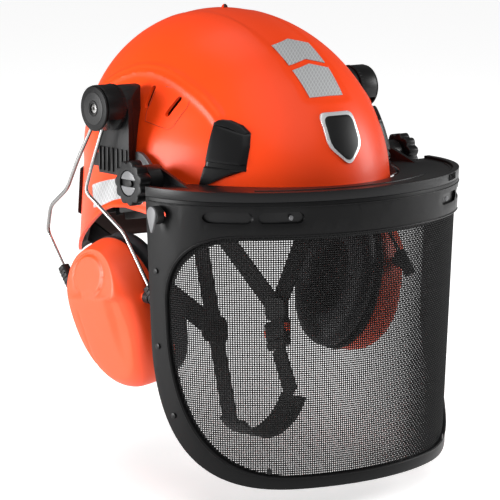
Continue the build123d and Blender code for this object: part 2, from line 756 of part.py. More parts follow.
with BuildPart() as arm_hub:
    with BuildSketch(Plane.YZ.offset(-hub_face_x)):
        with Locations((hub_y, hub_z)):
            Circle(hub_radius)
    extrude(amount=hub_face_x - adapter_face_x - running_gap)
    with BuildSketch(Plane.YZ.offset(-far)):
        with Locations((hub_y, flip_z + flip_barrel_radius + 1.5 - 20)):
            Rectangle(60, 40)
    extrude(amount=far - flip_x + flip_barrel_radius + 2, mode=Mode.SUBTRACT)
write_pair(arm_hub, "arm_hub")

with BuildPart() as hub_cap:
    with BuildSketch(Plane.YZ.offset(-hub_face_x - 2.5)):
        with Locations((hub_y, hub_z)):
            Circle(hub_radius - 0.4)
            Circle(4.2, mode=Mode.SUBTRACT)
    extrude(amount=2.45)
write_pair(hub_cap, "hub_cap")

with BuildPart() as hub_screw:
    with BuildSketch(Plane.YZ.offset(-hub_face_x - 2.0)):
        with Locations((hub_y, hub_z)):
            Circle(4.0)
            RegularPolygon(1.6, 6, mode=Mode.SUBTRACT)
    extrude(amount=1.95)
write_pair(hub_screw, "hub_screw")

wire_end = 12.0             # how far each wire reaches past its slider's middle


def on_wire_end(middle_y, distance):
    """Point on a wire's straight end, distance past the slider's middle."""
    reach = slide_dir * distance
    return (-tilt_x, middle_y + reach.Y, tilt_z + reach.Z)


rear_mid_y = slider_mid_y + slider_span
front_mid_y = slider_mid_y - slider_span
wire_routes = (
    [(-flip_x, 16, flip_z), (-132, 34, 12), (-133, 48, -13), (-134, 70, -29), on_wire_end(rear_mid_y, -45),
     on_wire_end(rear_mid_y, wire_end)],
    [(-flip_x, 2.4, flip_z), (-132, 12, 16), (-133, 23, -12), on_wire_end(front_mid_y, -60),
     on_wire_end(front_mid_y, wire_end)],
)
with BuildPart() as yoke_wires:
    for route in wire_routes:
        with BuildLine():
            path = FilletPolyline(*route, radius=7)
        with BuildSketch(Plane(origin=path @ 0, z_dir=path % 0)):
            Circle(wire_diameter / 2)
        sweep(path=path)
    with BuildSketch(Plane.XZ.offset(-flip_y - 10)):
        with Locations((-flip_x, flip_z)):
            Circle(flip_barrel_radius)
    extrude(amount=20)
write_pair(yoke_wires, "yoke_wires")

# ---------------------------------------------------------------- ear cup
cup_out = Vector(-cos(radians(cup_lean)), 0, -sin(radians(cup_lean)))
cup_up = Vector(-sin(radians(cup_lean)), 0, cos(radians(cup_lean)))


def cup_plane(height):
    """Plane parallel to the cup's rim, height millimetres outwards from it, x forwards."""
    return Plane(origin=Vector(*cup_centre) + cup_out * height, x_dir=(0, -1, 0), z_dir=cup_out)


def cup_form(inset, depth, floor):
    """Domed oval body of the cup with a sloping brow, drawn in by inset."""
    slope = radians(cup_brow_slope)
    brow_start = cup_out * (cup_depth - inset) + cup_up * cup_brow
    with BuildPart() as form:
        for share, shrink in ((0.0, 0.0), (0.55, 1.5), (1.0, cup_crown)):
            with BuildSketch(cup_plane(floor + (depth - floor) * share)):
                Ellipse(cup_half_width - inset - shrink, cup_half_height - inset - shrink, rotation=cup_slant)
        loft(ruled=True)
        split(bisect_by=Plane(origin=Vector(*cup_centre) + brow_start,
                              z_dir=cup_out * cos(slope) + cup_up * sin(slope)), keep=Keep.BOTTOM)
    return form.part


pin_radius = 3.0
pin_end_y = slider_span - wire_diameter - 2.2
with BuildPart() as cup_shell:
    add(cup_form(0, cup_depth, 0))
    with BuildSketch(Plane.XZ.offset(-slider_mid_y - pin_end_y)):
        with Locations((-tilt_x, tilt_z)):
            Circle(pin_radius)
    extrude(amount=2 * pin_end_y)
    add(cup_form(cup_wall, cup_depth - cup_wall, -0.01), mode=Mode.SUBTRACT)
write_pair(cup_shell, "cup_shell")

with BuildPart() as cup_back_plate:
    with BuildSketch(cup_plane(-2.45)):
        Ellipse(cup_half_width, cup_half_height, rotation=cup_slant)
        Ellipse(22, 31, rotation=cup_slant, mode=Mode.SUBTRACT)
    extrude(amount=2.4)
write_pair(cup_back_plate, "cup_back_plate")

with BuildPart() as ear_cushion:
    with BuildSketch(cup_plane(-2.75)):
        Ellipse(cup_half_width - 1, cup_half_height - 1, rotation=cup_slant)
        Ellipse(20, 29, rotation=cup_slant, mode=Mode.SUBTRACT)
    extrude(amount=-cushion_depth)
write_pair(ear_cushion, "ear_cushion")

with BuildPart() as foam_liner:
    with BuildSketch(cup_plane(0.3)):
        Ellipse(cup_half_width - 7, cup_half_height - 7, rotation=cup_slant)
    extrude(amount=12)
write_pair(foam_liner, "foam_liner")

# ---------------------------------------------------------------- wire sliders and tilt pins
slider_width = 8.0
slider_length = 22.0
lug_radius = 5.0            # round lug that holds the cup's pin
lug_face_y = 47.8
with BuildPart() as wire_sliders:
    for middle_y, inward in ((rear_mid_y, -1), (front_mid_y, 1)):
        start = Vector(*on_wire_end(middle_y, -slider_length / 2))
        with BuildSketch(Plane(origin=start, x_dir=(1, 0, 0), z_dir=slide_dir)):
            RectangleRounded(slider_width, slider_width, 2)
        extrude(amount=slider_length)
        lug_start_y = slider_mid_y - inward * lug_face_y
        with BuildSketch(Plane.XZ.offset(-max(lug_start_y, middle_y + inward * 2))):
            with Locations((-tilt_x, tilt_z)):
                Circle(lug_radius)
        extrude(amount=abs(middle_y + inward * 2 - lug_start_y))
        with BuildSketch(Plane(origin=start, x_dir=(1, 0, 0), z_dir=slide_dir)):
            Circle(wire_diameter / 2 + shaft_fit)
        extrude(amount=slider_length, mode=Mode.SUBTRACT)
    with BuildSketch(Plane.XZ.offset(-slider_mid_y - pin_end_y - running_gap)):
        with Locations((-tilt_x, tilt_z)):
            Circle(pin_radius + shaft_fit)
    extrude(amount=2 * (pin_end_y + running_gap), mode=Mode.SUBTRACT)
write_pair(wire_sliders, "wire_sliders")
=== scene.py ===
"""Looks of the forestry helmet: shell, harness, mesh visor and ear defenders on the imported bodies."""
import logging
from dataclasses import dataclass
from enum import Enum
from math import cos, pi, radians, sin, sqrt
from typing import Callable, Sequence

import bpy
import numpy as np
from mathutils import Matrix, Vector


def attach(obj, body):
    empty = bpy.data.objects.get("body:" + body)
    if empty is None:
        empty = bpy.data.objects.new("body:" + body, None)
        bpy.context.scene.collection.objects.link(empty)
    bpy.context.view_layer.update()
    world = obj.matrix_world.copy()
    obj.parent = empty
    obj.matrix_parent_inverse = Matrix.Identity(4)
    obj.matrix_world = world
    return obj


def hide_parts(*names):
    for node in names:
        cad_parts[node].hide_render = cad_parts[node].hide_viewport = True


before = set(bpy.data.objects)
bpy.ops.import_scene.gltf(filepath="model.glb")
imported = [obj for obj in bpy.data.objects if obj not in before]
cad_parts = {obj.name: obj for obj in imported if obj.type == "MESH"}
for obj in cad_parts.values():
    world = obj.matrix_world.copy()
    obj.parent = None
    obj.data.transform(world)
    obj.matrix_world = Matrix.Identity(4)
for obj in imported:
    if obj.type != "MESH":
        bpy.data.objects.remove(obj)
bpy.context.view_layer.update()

LOG = logging.getLogger("helmet")
MM = 0.001
MERGE_REACH = 0.01
Point = tuple[float, float, float]
Flat = tuple[float, float]


class Side(Enum):
    """The wearer's side that a piece belongs to."""
    RIGHT = -1
    LEFT = 1

    @property
    def word(self) -> str:
        """Name used in node and body names."""
        return self.name.lower()


# ------------------------------------------------------------------ node helpers
def new_group(name: str, inputs: Sequence[tuple[str, float]],
              outputs: Sequence[str]) -> bpy.types.NodeTree:
    """Starts a shader node group.

    Args:
        name: name of the group.
        inputs: socket names with their default values.
        outputs: names of the value outputs.

    Returns:
        The empty group with its Group Input and Group Output nodes.
    """
    group = bpy.data.node_groups.new(name, "ShaderNodeTree")
    for label, default in inputs:
        socket = group.interface.new_socket(label, in_out="INPUT", socket_type="NodeSocketFloat")
        socket.default_value = default
    for label in outputs:
        group.interface.new_socket(label, in_out="OUTPUT", socket_type="NodeSocketFloat")
    group.nodes.new("NodeGroupInput").name = "in"
    group.nodes.new("NodeGroupOutput").name = "out"
    return group


def math_node(tree: bpy.types.NodeTree, operation: str, first: object, second: object = None,
              third: object = None) -> bpy.types.NodeSocket:
    """Adds a math node fed by sockets or numbers.

    Returns:
        The node's output socket.
    """
    node = tree.nodes.new("ShaderNodeMath")
    node.operation = operation
    for index, value in enumerate((first, second, third)):
        if value is None:
            continue
        if isinstance(value, bpy.types.NodeSocket):
            tree.links.new(value, node.inputs[index])
        else:
            node.inputs[index].default_value = value
    return node.outputs[0]


def grain_group() -> bpy.types.NodeTree:
    """Builds the fine moulding grain with broad, faint handling marks.

    Returns:
        A group with Height and Wear outputs.
    """
    group = new_group("moulding_grain", [("Scale", 900.0), ("Marks", 14.0)], ["Height", "Wear"])
    tie, nodes = group.links, group.nodes
    place = nodes.new("ShaderNodeTexCoord")
    fine = nodes.new("ShaderNodeTexNoise")
    fine.inputs["Detail"].default_value = 3.0
    broad = nodes.new("ShaderNodeTexNoise")
    broad.inputs["Detail"].default_value = 6.0
    broad.inputs["Roughness"].default_value = 0.7
    for node, socket in ((fine, "Scale"), (broad, "Marks")):
        tie.new(place.outputs["Object"], node.inputs["Vector"])
        tie.new(nodes["in"].outputs[socket], node.inputs["Scale"])
    tie.new(fine.outputs["Fac"], nodes["out"].inputs["Height"])
    tie.new(broad.outputs["Fac"], nodes["out"].inputs["Wear"])
    return group


def weave_group() -> bpy.types.NodeTree:
    """Builds an over-and-under weave from the piece's own UV map, in thread widths.

    Returns:
        A group with Height and Thread outputs.
    """
    group = new_group("woven_threads", [("Along", 1.0), ("Across", 1.0)], ["Height", "Thread"])
    tie, nodes = group.links, group.nodes
    place = nodes.new("ShaderNodeUVMap")
    place.uv_map = "UVMap"
    split = nodes.new("ShaderNodeSeparateXYZ")
    tie.new(place.outputs["UV"], split.inputs[0])
    along = math_node(group, "MULTIPLY", split.outputs["X"], nodes["in"].outputs["Along"])
    across = math_node(group, "MULTIPLY", split.outputs["Y"], nodes["in"].outputs["Across"])
    rib_a = math_node(group, "SINE", math_node(group, "MULTIPLY", along, 2 * pi))
    rib_b = math_node(group, "SINE", math_node(group, "MULTIPLY", across, 2 * pi))
    crossing = math_node(group, "MULTIPLY", rib_a, rib_b)
    height = math_node(group, "MULTIPLY_ADD", crossing, 0.5, 0.5)
    tie.new(height, nodes["out"].inputs["Height"])
    thread = math_node(group, "MULTIPLY_ADD", rib_b, 0.5, 0.5)
    tie.new(thread, nodes["out"].inputs["Thread"])
    return group


def cell_group() -> bpy.types.NodeTree:
    """Builds the pressed lozenge cells of a reflective film from Object coordinates.

    Returns:
        A group with Height and Cell outputs.
    """
    group = new_group("film_cells", [("Pitch", 0.0042), ("Line", 0.1)], ["Height", "Cell"])
    tie, nodes = group.links, group.nodes
    place = nodes.new("ShaderNodeTexCoord")
    split = nodes.new("ShaderNodeSeparateXYZ")
    tie.new(place.outputs["Object"], split.inputs[0])
    level = math_node(group, "ADD", split.outputs["Z"],
                      math_node(group, "MULTIPLY", split.outputs["Y"], 0.35))
    run = math_node(group, "ADD", split.outputs["X"],
                    math_node(group, "MULTIPLY", split.outputs["Y"], -0.8))
    edges = []
    for sign in (1.0, -1.0):
        slanted = math_node(group, "ADD", math_node(group, "MULTIPLY", level, sign * 0.6), run)
        steps = math_node(group, "DIVIDE", slanted, nodes["in"].outputs["Pitch"])
        saw = math_node(group, "PINGPONG", steps, 0.5)
        edges.append(math_node(group, "SUBTRACT", 1.0, math_node(
            group, "SMOOTH_MIN", math_node(group, "DIVIDE", saw, nodes["in"].outputs["Line"]), 1.0,
                                                                 0.2)))
    line = math_node(group, "MAXIMUM", edges[0], edges[1])
    tie.new(line, nodes["out"].inputs["Height"])
    tie.new(line, nodes["out"].inputs["Cell"])
    return group


GROUPS: dict[str, bpy.types.NodeTree] = {}


def shared_group(maker: Callable[[], bpy.types.NodeTree]) -> bpy.types.NodeTree:
    """Returns the group that maker builds, built only once."""
    if maker.__name__ not in GROUPS:
        GROUPS[maker.__name__] = maker()
    return GROUPS[maker.__name__]


def place_group(tree: bpy.types.NodeTree, maker: Callable[[], bpy.types.NodeTree],
                values: dict[str, float]) -> tuple[bpy.types.NodeSocket, bpy.types.NodeSocket]:
    """Places a shared group in a material.

    Args:
        tree: node tree of the material.
        maker: function that builds the group.
        values: the group's inputs and their values in this material.

    Returns:
        The group's height and mask sockets.
    """
    node = tree.nodes.new("ShaderNodeGroup")
    node.node_tree = shared_group(maker)
    for label, value in values.items():
        node.inputs[label].default_value = value
    return node.outputs[0], node.outputs[1]


@dataclass(frozen=True)
class Finish:
    """Base of every finish: a colour that drifts a little, a roughness range and a bump."""
    name: str
    colour: tuple[float, float, float]
    second: tuple[float, float, float]
    rough_low: float
    rough_high: float
    bump: float = 0.05
    metallic: float = 0.0
    coat: float = 0.0
    specular: float = 0.5
    grain: float = 900.0
    marks: float = 14.0
    coat_rough: float = 0.12
    bump_reach: float = 0.0004

    def pattern(self, tree: bpy.types.NodeTree) -> tuple[bpy.types.NodeSocket, bpy.types.NodeSocket]:
        """Adds the finish's pattern.

        Args:
            tree: node tree of the material.

        Returns:
            The height socket for the bump and the mask socket for colour and roughness.
        """
        return place_group(tree, grain_group, {"Scale": self.grain, "Marks": self.marks})

    def make(self) -> bpy.types.Material:
        """Builds the material, or returns the one built before.

        Returns:
            The material.
        """
        if self.name in bpy.data.materials:
            return bpy.data.materials[self.name]
        material = bpy.data.materials.new(self.name)
        material.use_nodes = True
        tree = material.node_tree
        shader = tree.nodes["Principled BSDF"]
        shader.inputs["Metallic"].default_value = self.metallic
        shader.inputs["Coat Weight"].default_value = self.coat
        shader.inputs["Coat Roughness"].default_value = self.coat_rough
        shader.inputs["Specular IOR Level"].default_value = self.specular
        height, mask = self.pattern(tree)
        tint = tree.nodes.new("ShaderNodeMix")
        tint.data_type = "RGBA"
        tint.inputs[6].default_value = (*self.colour, 1)
        tint.inputs[7].default_value = (*self.second, 1)
        tree.links.new(mask, tint.inputs[0])
        tree.links.new(tint.outputs[2], shader.inputs["Base Color"])
        spread = tree.nodes.new("ShaderNodeMapRange")
        spread.inputs["To Min"].default_value = self.rough_low
        spread.inputs["To Max"].default_value = self.rough_high
        tree.links.new(mask, spread.inputs["Value"])
        tree.links.new(spread.outputs["Result"], shader.inputs["Roughness"])
        bump = tree.nodes.new("ShaderNodeBump")
        bump.inputs["Strength"].default_value = self.bump
        bump.inputs["Distance"].default_value = self.bump_reach
        tree.links.new(height, bump.inputs["Height"])
        tree.links.new(bump.outputs["Normal"], shader.inputs["Normal"])
        return material


@dataclass(frozen=True)
class WovenFinish(Finish):
    """Woven band or cloth whose threads follow the piece's UV map."""
    along: float = 1.0
    across: float = 1.0

    def pattern(self, tree: bpy.types.NodeTree) -> tuple[bpy.types.NodeSocket, bpy.types.NodeSocket]:
        """Adds the weave.

        Args:
            tree: node tree of the material.

        Returns:
            The height and thread sockets.
        """
        return place_group(tree, weave_group, {"Along": self.along, "Across": self.across})


@dataclass(frozen=True)
class FilmFinish(Finish):
    """Reflective film with pressed cells."""
    pitch: float = 0.0034
    line: float = 0.14

    def pattern(self, tree: bpy.types.NodeTree) -> tuple[bpy.types.NodeSocket, bpy.types.NodeSocket]:
        """Adds the pressed cells.

        Args:
            tree: node tree of the material.

        Returns:
            The height and cell sockets.
        """
        return place_group(tree, cell_group, {"Pitch": self.pitch, "Line": self.line})


SHELL_ORANGE = Finish("shell_gloss", (0.95, 0.062, 0.006), (0.93, 0.057, 0.005), 0.36, 0.44, bump=0.02,
                      coat=0.03, specular=0.22, grain=1400)
# Painted shade: the inside of the orange shell is coloured near black to stand for the shade inside it;
# there is no separate liner.
SHELL_INSIDE_SHADE = Finish("shell_inside_painted_shade", (0.02, 0.007, 0.005), (0.03, 0.010, 0.007), 0.6, 0.75, bump=0.1,
                      specular=0.2)
# Painted shade: a darker copy of the shell orange for the shaded line along the side panel's edge.
PANEL_EDGE_SHADE = Finish("panel_edge_painted_shade", (0.5, 0.035, 0.005), (0.45, 0.03, 0.005), 0.5, 0.6)
CUP_ORANGE = Finish("cup_satin", (0.92, 0.075, 0.01), (0.88, 0.066, 0.009), 0.42, 0.52, bump=0.06,
                    grain=1100)
BLACK_SATIN = Finish("black_satin", (0.004, 0.004, 0.0043), (0.006, 0.006, 0.0065), 0.3, 0.42,
                     bump=0.08, specular=0.24, grain=1300)
BLACK_GRAIN = Finish("black_grain", (0.004, 0.004, 0.0043), (0.007, 0.007, 0.0075), 0.4, 0.55,
                     bump=0.25, specular=0.3, grain=1000)
FRAME_BLACK = Finish("frame_satin", (0.003, 0.003, 0.0032), (0.005, 0.005, 0.0053), 0.34, 0.44,
                     bump=0.06, specular=0.15, grain=1500)
# Painted sheen: the arms are black plastic; this lighter grey copy stands for the light they reflect.
ARM_SHEEN_GREY = Finish("arm_painted_sheen", (0.05, 0.05, 0.053), (0.06, 0.06, 0.063), 0.28, 0.36, bump=0.05)
# Painted sheen: a lighter grey copy of the black plastic, used on the knob halves, lever tabs and pegs
# to stand for the light they reflect.
KNOB_SHEEN_GREY = Finish("knob_painted_sheen", (0.12, 0.12, 0.125), (0.15, 0.15, 0.155), 0.3, 0.4)
BADGE_SILVER = Finish("badge_rim", (0.62, 0.63, 0.64), (0.7, 0.71, 0.72), 0.22, 0.32, metallic=0.4)
FILM = FilmFinish("reflective_film", (0.36, 0.365, 0.37), (0.56, 0.57, 0.58), 0.34, 0.45, bump=0.35,
                  coat=0.1)
WEBBING = WovenFinish("strap_weave", (0.006, 0.006, 0.0065), (0.018, 0.018, 0.019), 0.7, 0.85, bump=0.8,
                      specular=0.25)
PADDING = Finish("pad_cloth", (0.010, 0.010, 0.011), (0.024, 0.024, 0.026), 0.8, 0.92, bump=0.9,
                 specular=0.2, grain=2200)
CUSHION = Finish("cushion_skin", (0.006, 0.006, 0.0065), (0.012, 0.012, 0.013), 0.4, 0.52, bump=0.3,
                 grain=700)
FOAM = Finish("foam", (0.03, 0.03, 0.032), (0.05, 0.05, 0.052), 0.9, 0.97, bump=1.0, specular=0.1,
              grain=600)
WIRE_CLOTH = Finish("wire_cloth", (0.004, 0.004, 0.0042), (0.007, 0.007, 0.0074), 0.42, 0.55, bump=0.0,
                    specular=0.2)
STEEL = Finish("drawn_steel", (0.26, 0.255, 0.25), (0.34, 0.335, 0.33), 0.2, 0.3, bump=0.1,
               metallic=1.0)


# ------------------------------------------------------------------ mesh helpers
def clear_selection() -> None:
    """Leaves nothing selected."""
    if bpy.context.object and bpy.context.object.mode != "OBJECT":
        bpy.ops.object.mode_set(mode="OBJECT")
    bpy.ops.object.select_all(action="DESELECT")


def hold(piece: bpy.types.Object) -> bpy.types.Object:
    """Selects only this piece and makes it active."""
    clear_selection()
    piece.select_set(True)
    bpy.context.view_layer.objects.active = piece
    return piece


def modify(piece: bpy.types.Object, kind: str, **settings: object) -> None:
    """Adds a modifier with these settings and applies it."""
    hold(piece)
    modifier = piece.modifiers.new(kind.lower(), kind)
    for key, value in settings.items():
        setattr(modifier, key, value)
    bpy.ops.object.modifier_apply(modifier=modifier.name)


def soften(piece: bpy.types.Object, angle: float = 32.0) -> None:
    """Shades the piece smooth except across edges sharper than angle degrees."""
    hold(piece)
    bpy.ops.object.shade_smooth_by_angle(angle=radians(angle))


def round_edges(piece: bpy.types.Object, width: float, segments: int = 2, angle: float = 40.0) -> None:
    """Bevels edges sharper than angle by width millimetres and softens the shading."""
    modify(piece, "BEVEL", width=width * MM, segments=segments, limit_method="ANGLE",
           angle_limit=radians(angle),
           use_clamp_overlap=True)
    soften(piece, 40.0)


def open_mesh(piece: bpy.types.Object) -> None:
    """Starts edit mode on the piece with everything selected."""
    hold(piece)
    bpy.ops.object.mode_set(mode="EDIT")
    bpy.ops.mesh.select_all(action="SELECT")


def close_mesh() -> None:
    """Leaves edit mode."""
    bpy.ops.object.mode_set(mode="OBJECT")


def tidy_faces(piece: bpy.types.Object) -> None:
    """Merges doubled corners and turns every face outwards."""
    open_mesh(piece)
    bpy.ops.mesh.remove_doubles(threshold=MERGE_REACH * MM)
    bpy.ops.mesh.normals_make_consistent(inside=False)
    close_mesh()


def cut_out(piece: bpy.types.Object, cutter: bpy.types.Object) -> None:
    """Takes the cutter's form out of the piece and removes the cutter."""
    modify(piece, "BOOLEAN", operation="DIFFERENCE", object=cutter, solver="EXACT")
    bpy.data.objects.remove(cutter)


def scale_threads(piece: bpy.types.Object, across: float, along: float) -> None:
    """Stretches the piece's UV map to count its threads across and along it."""
    layer = piece.data.uv_layers.active.data
    flat = np.zeros(len(layer) * 2, np.float32)
    layer.foreach_get("uv", flat)
    flat = flat.reshape(-1, 2) * np.array([across, along], np.float32)
    layer.foreach_set("uv", flat.ravel())
    piece.data.uv_layers.active.name = "UVMap"


def set_points(piece: bpy.types.Object, points: np.ndarray) -> None:
    """Moves the vertices to points given in millimetres."""
    piece.data.vertices.foreach_set("co", (points * MM).astype(np.float32).ravel())
    piece.data.update()


def get_points(piece: bpy.types.Object) -> np.ndarray:
    """Returns the vertices in millimetres."""
    points = np.zeros(len(piece.data.vertices) * 3, np.float32)
    piece.data.vertices.foreach_get("co", points)
    return points.reshape(-1, 3).astype(float) / MM


def sheet_piece(name: str, columns: int, rows: int,
                place: Callable[[np.ndarray, np.ndarray], np.ndarray]) -> bpy.types.Object:
    """Adds a grid and wraps it over a surface.

    Args:
        name: name of the piece.
        columns: faces along u.
        rows: faces along v.
        place: gives points in millimetres for arrays u and v that run from 0 to 1.

    Returns:
        The wrapped grid, with u and v as its UV map.
    """
    clear_selection()
    bpy.ops.mesh.primitive_grid_add(x_subdivisions=columns, y_subdivisions=rows, size=2,
                                    location=(0, 0, 0))
    piece = bpy.context.object
    piece.name = name
    flat = get_points(piece) * MM
    set_points(piece, place((flat[:, 0] + 1) / 2, (flat[:, 1] + 1) / 2))
    return piece


def slab(name: str, outline: Sequence[Flat], to_space: Callable[[float, float], Point], push: Point,
         bevel: float = 0.5, segments: int = 2) -> bpy.types.Object:
    """Extrudes a flat outline into a slab with rounded edges.

    Args:
        name: name of the piece.
        outline: points of the outline in its own plane, in millimetres.
        to_space: turns a point of the plane into a point in space.
        push: vector from the first face to the other, in millimetres.
        bevel: radius of the edges.
        segments: faces across each rounded edge.

    Returns:
        The slab.
    """
    clear_selection()
    bpy.ops.mesh.primitive_circle_add(vertices=len(outline), radius=1, fill_type="NGON",
                                      location=(0, 0, 0))
    piece = bpy.context.object
    piece.name = name
    set_points(piece, np.array([to_space(a, b) for a, b in outline]))
    open_mesh(piece)
    bpy.ops.mesh.extrude_region_move(TRANSFORM_OT_translate={"value": tuple(c * MM for c in push)})
    close_mesh()
    tidy_faces(piece)
    if bevel > 0:
        round_edges(piece, bevel, segments, 30.0)
    return piece


def ring_outline(radius_a: float, radius_b: float, steps: int, centre: Flat = (0, 0),
                 turn: float = 0.0) -> list[Flat]:
    """Points around an ellipse."""
    points = []
    for k in range(steps):
        a = 2 * pi * k / steps
        x, y = radius_a * cos(a), radius_b * sin(a)
        points.append((centre[0] + x * cos(turn) - y * sin(turn),
                       centre[1] + x * sin(turn) + y * cos(turn)))
    return points


def rounded(points: Sequence[Flat], radius: float, steps: int = 5) -> list[Flat]:
    """Rounds the corners of a closed outline.

    Args:
        points: corners in order.
        radius: distance along each side at which the rounding starts.
        steps: points on each corner.

    Returns:
        The rounded outline.
    """
    result = []
    count = len(points)
    for k in range(count):
        before, corner, after = (np.array(points[(k + s) % count], float) for s in (-1, 0, 1))
        into, out = before - corner, after - corner
        cut_in = corner + into / np.linalg.norm(into) * min(radius, np.linalg.norm(into) * 0.45)
        cut_out = corner + out / np.linalg.norm(out) * min(radius, np.linalg.norm(out) * 0.45)
        for s in range(steps + 1):
            t = s / steps
            spot = (1 - t) ** 2 * cut_in + 2 * t * (1 - t) * corner + t ** 2 * cut_out
            result.append((float(spot[0]), float(spot[1])))
    return result


def resample(points: Sequence[Sequence[float]], shares: np.ndarray) -> np.ndarray:
    """Points at the given shares of the length of a line through points."""
    line = np.array(points, float)
    reach = np.concatenate([[0], np.cumsum(np.linalg.norm(np.diff(line, axis=0), axis=1))])
    return np.stack([np.interp(shares * reach[-1], reach,
                               line[:, axis]) for axis in range(line.shape[1])], axis=1)


def smooth_line(points: Sequence[Sequence[float]], steps: int = 8) -> np.ndarray:
    """Catmull-Rom line through points, with steps pieces between neighbours."""
    line = np.array(points, float)
    padded = np.vstack([2 * line[0] - line[1], line, 2 * line[-1] - line[-2]])
    spots = []
    for k in range(1, len(padded) - 2):
        p0, p1, p2, p3 = padded[k - 1:k + 3]
        for s in range(steps):
            t = s / steps
            spots.append(0.5 * (2 * p1 + (p2 - p0) * t + (2 * p0 - 5 * p1 + 4 * p2 - p3) * t ** 2
                                + (3 * p1 - p0 - 3 * p2 + p3) * t ** 3))
    spots.append(line[-1])
    return np.array(spots)


def rod(name: str, points: Sequence[Sequence[float]], radius: float,
        sides: int = 12) -> bpy.types.Object:
    """Round rod along a line of points, made from a grid rolled round the line and capped.

    Args:
        name: name of the piece.
        points: centreline in millimetres.
        radius: radius in millimetres.
        sides: faces round the rod.

    Returns:
        The rod.
    """
    line = np.array(points, float)
    tangents = np.gradient(line, axis=0)
    tangents /= np.linalg.norm(tangents, axis=1)[:, None]
    normal = np.cross(tangents[0], (0.31, 0.87, 0.11))
    frames = []
    for tangent in tangents:
        normal = normal - tangent * normal.dot(tangent)
        normal = normal / np.linalg.norm(normal)
        frames.append((normal, np.cross(tangent, normal)))
    side_a = np.array([f[0] for f in frames])
    side_b = np.array([f[1] for f in frames])

    def place(u: np.ndarray, v: np.ndarray) -> np.ndarray:
        """Puts each grid point on the rod."""
        index = np.rint(v * (len(line) - 1)).astype(int)
        turn = -2 * pi * np.rint(u * sides) / sides
        return line[index] + radius * (np.cos(turn)[:, None] * side_a[index] + np.sin(turn)[:, None]
                                       * side_b[index])

    piece = sheet_piece(name, sides, len(line) - 1, place)
    open_mesh(piece)
    bpy.ops.mesh.remove_doubles(threshold=0.001 * MM)
    bpy.ops.mesh.select_all(action="DESELECT")
    bpy.ops.mesh.select_mode(type="EDGE")
    bpy.ops.mesh.select_non_manifold()
    bpy.ops.mesh.fill_holes(sides=0)
    bpy.ops.mesh.select_all(action="SELECT")
    bpy.ops.mesh.normals_make_consistent(inside=False)
    bpy.ops.mesh.select_mode(type="VERT")
    close_mesh()
    soften(piece, 50)
    return piece


def join(pieces: Sequence[bpy.types.Object], name: str) -> bpy.types.Object:
    """Joins pieces into the first one and names it."""
    clear_selection()
    for piece in pieces:
        piece.select_set(True)
    bpy.context.view_layer.objects.active = pieces[0]
    if len(pieces) > 1:
        bpy.ops.object.join()
    pieces[0].name = name
    return pieces[0]


def mirrored(piece: bpy.types.Object, name: str) -> bpy.types.Object:
    """Copies a piece to the other side of the helmet.

    Args:
        piece: piece of one side, with its own materials.
        name: name of the copy.

    Returns:
        The mirrored copy with its faces turned back outwards.
    """
    twin = piece.copy()
    twin.data = piece.data.copy()
    twin.name = name
    for key in [k for k in twin.keys() if k.startswith("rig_")]:
        del twin[key]
    twin.parent = None
    bpy.context.scene.collection.objects.link(twin)
    points = get_points(twin)
    points[:, 0] *= -1
    set_points(twin, points)
    twin.data.flip_normals()
    return twin


def cad_copy(node: str, bevel: float, name: str = "", angle: float = 40.0,
             segments: int = 2) -> bpy.types.Object:
    """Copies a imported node, merges its triangles and rounds its edges.

    Args:
        node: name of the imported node.
        bevel: radius of the edges in millimetres, 0 for none.
        name: name of the copy.
        angle: edges sharper than this many degrees are rounded.
        segments: faces across each rounded edge.

    Returns:
        The dressed copy.
    """
    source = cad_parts[node]
    piece = source.copy()
    piece.data = source.data.copy()
    piece.parent = None
    for key in [k for k in piece.keys() if k.startswith("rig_")]:
        del piece[key]
    piece.name = name or f"{node}_dressed"
    piece.data.materials.clear()
    bpy.context.scene.collection.objects.link(piece)
    open_mesh(piece)
    bpy.ops.mesh.remove_doubles(threshold=0.005 * MM)
    bpy.ops.mesh.dissolve_limited(angle_limit=radians(0.5), delimit={"NORMAL"})
    close_mesh()
    if bevel > 0:
        round_edges(piece, bevel, segments, angle)
    soften(piece, 38.0)
    return piece


def settle(piece: bpy.types.Object, body: str, finish: Finish, slot: str,
           *nodes: str) -> bpy.types.Object:
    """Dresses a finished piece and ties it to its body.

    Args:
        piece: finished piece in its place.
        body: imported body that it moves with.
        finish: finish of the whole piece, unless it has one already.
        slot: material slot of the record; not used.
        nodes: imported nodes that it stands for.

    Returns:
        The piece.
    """
    if not piece.data.materials:
        piece.data.materials.append(finish.make())
    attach(piece, body)
    if nodes:
        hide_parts(*nodes)
    LOG.info("%s: %d faces on %s", piece.name, len(piece.data.polygons), body)
    return piece


def settle_pair(piece: bpy.types.Object, stem: str, body: str, finish: Finish, slot: str,
                node: str = "") -> None:
    """Settles a right-hand piece and its mirror image on body_right and body_left."""
    twin = mirrored(piece, f"{stem}_left_dressed")
    piece.name = f"{stem}_right_dressed"
    for side, half in ((Side.RIGHT, piece), (Side.LEFT, twin)):
        name = body if body in ("helmet", "visor") else f"{body}_{side.word}"
        settle(half, name, finish, slot, *([f"{node}_{side.word}"] if node else []))


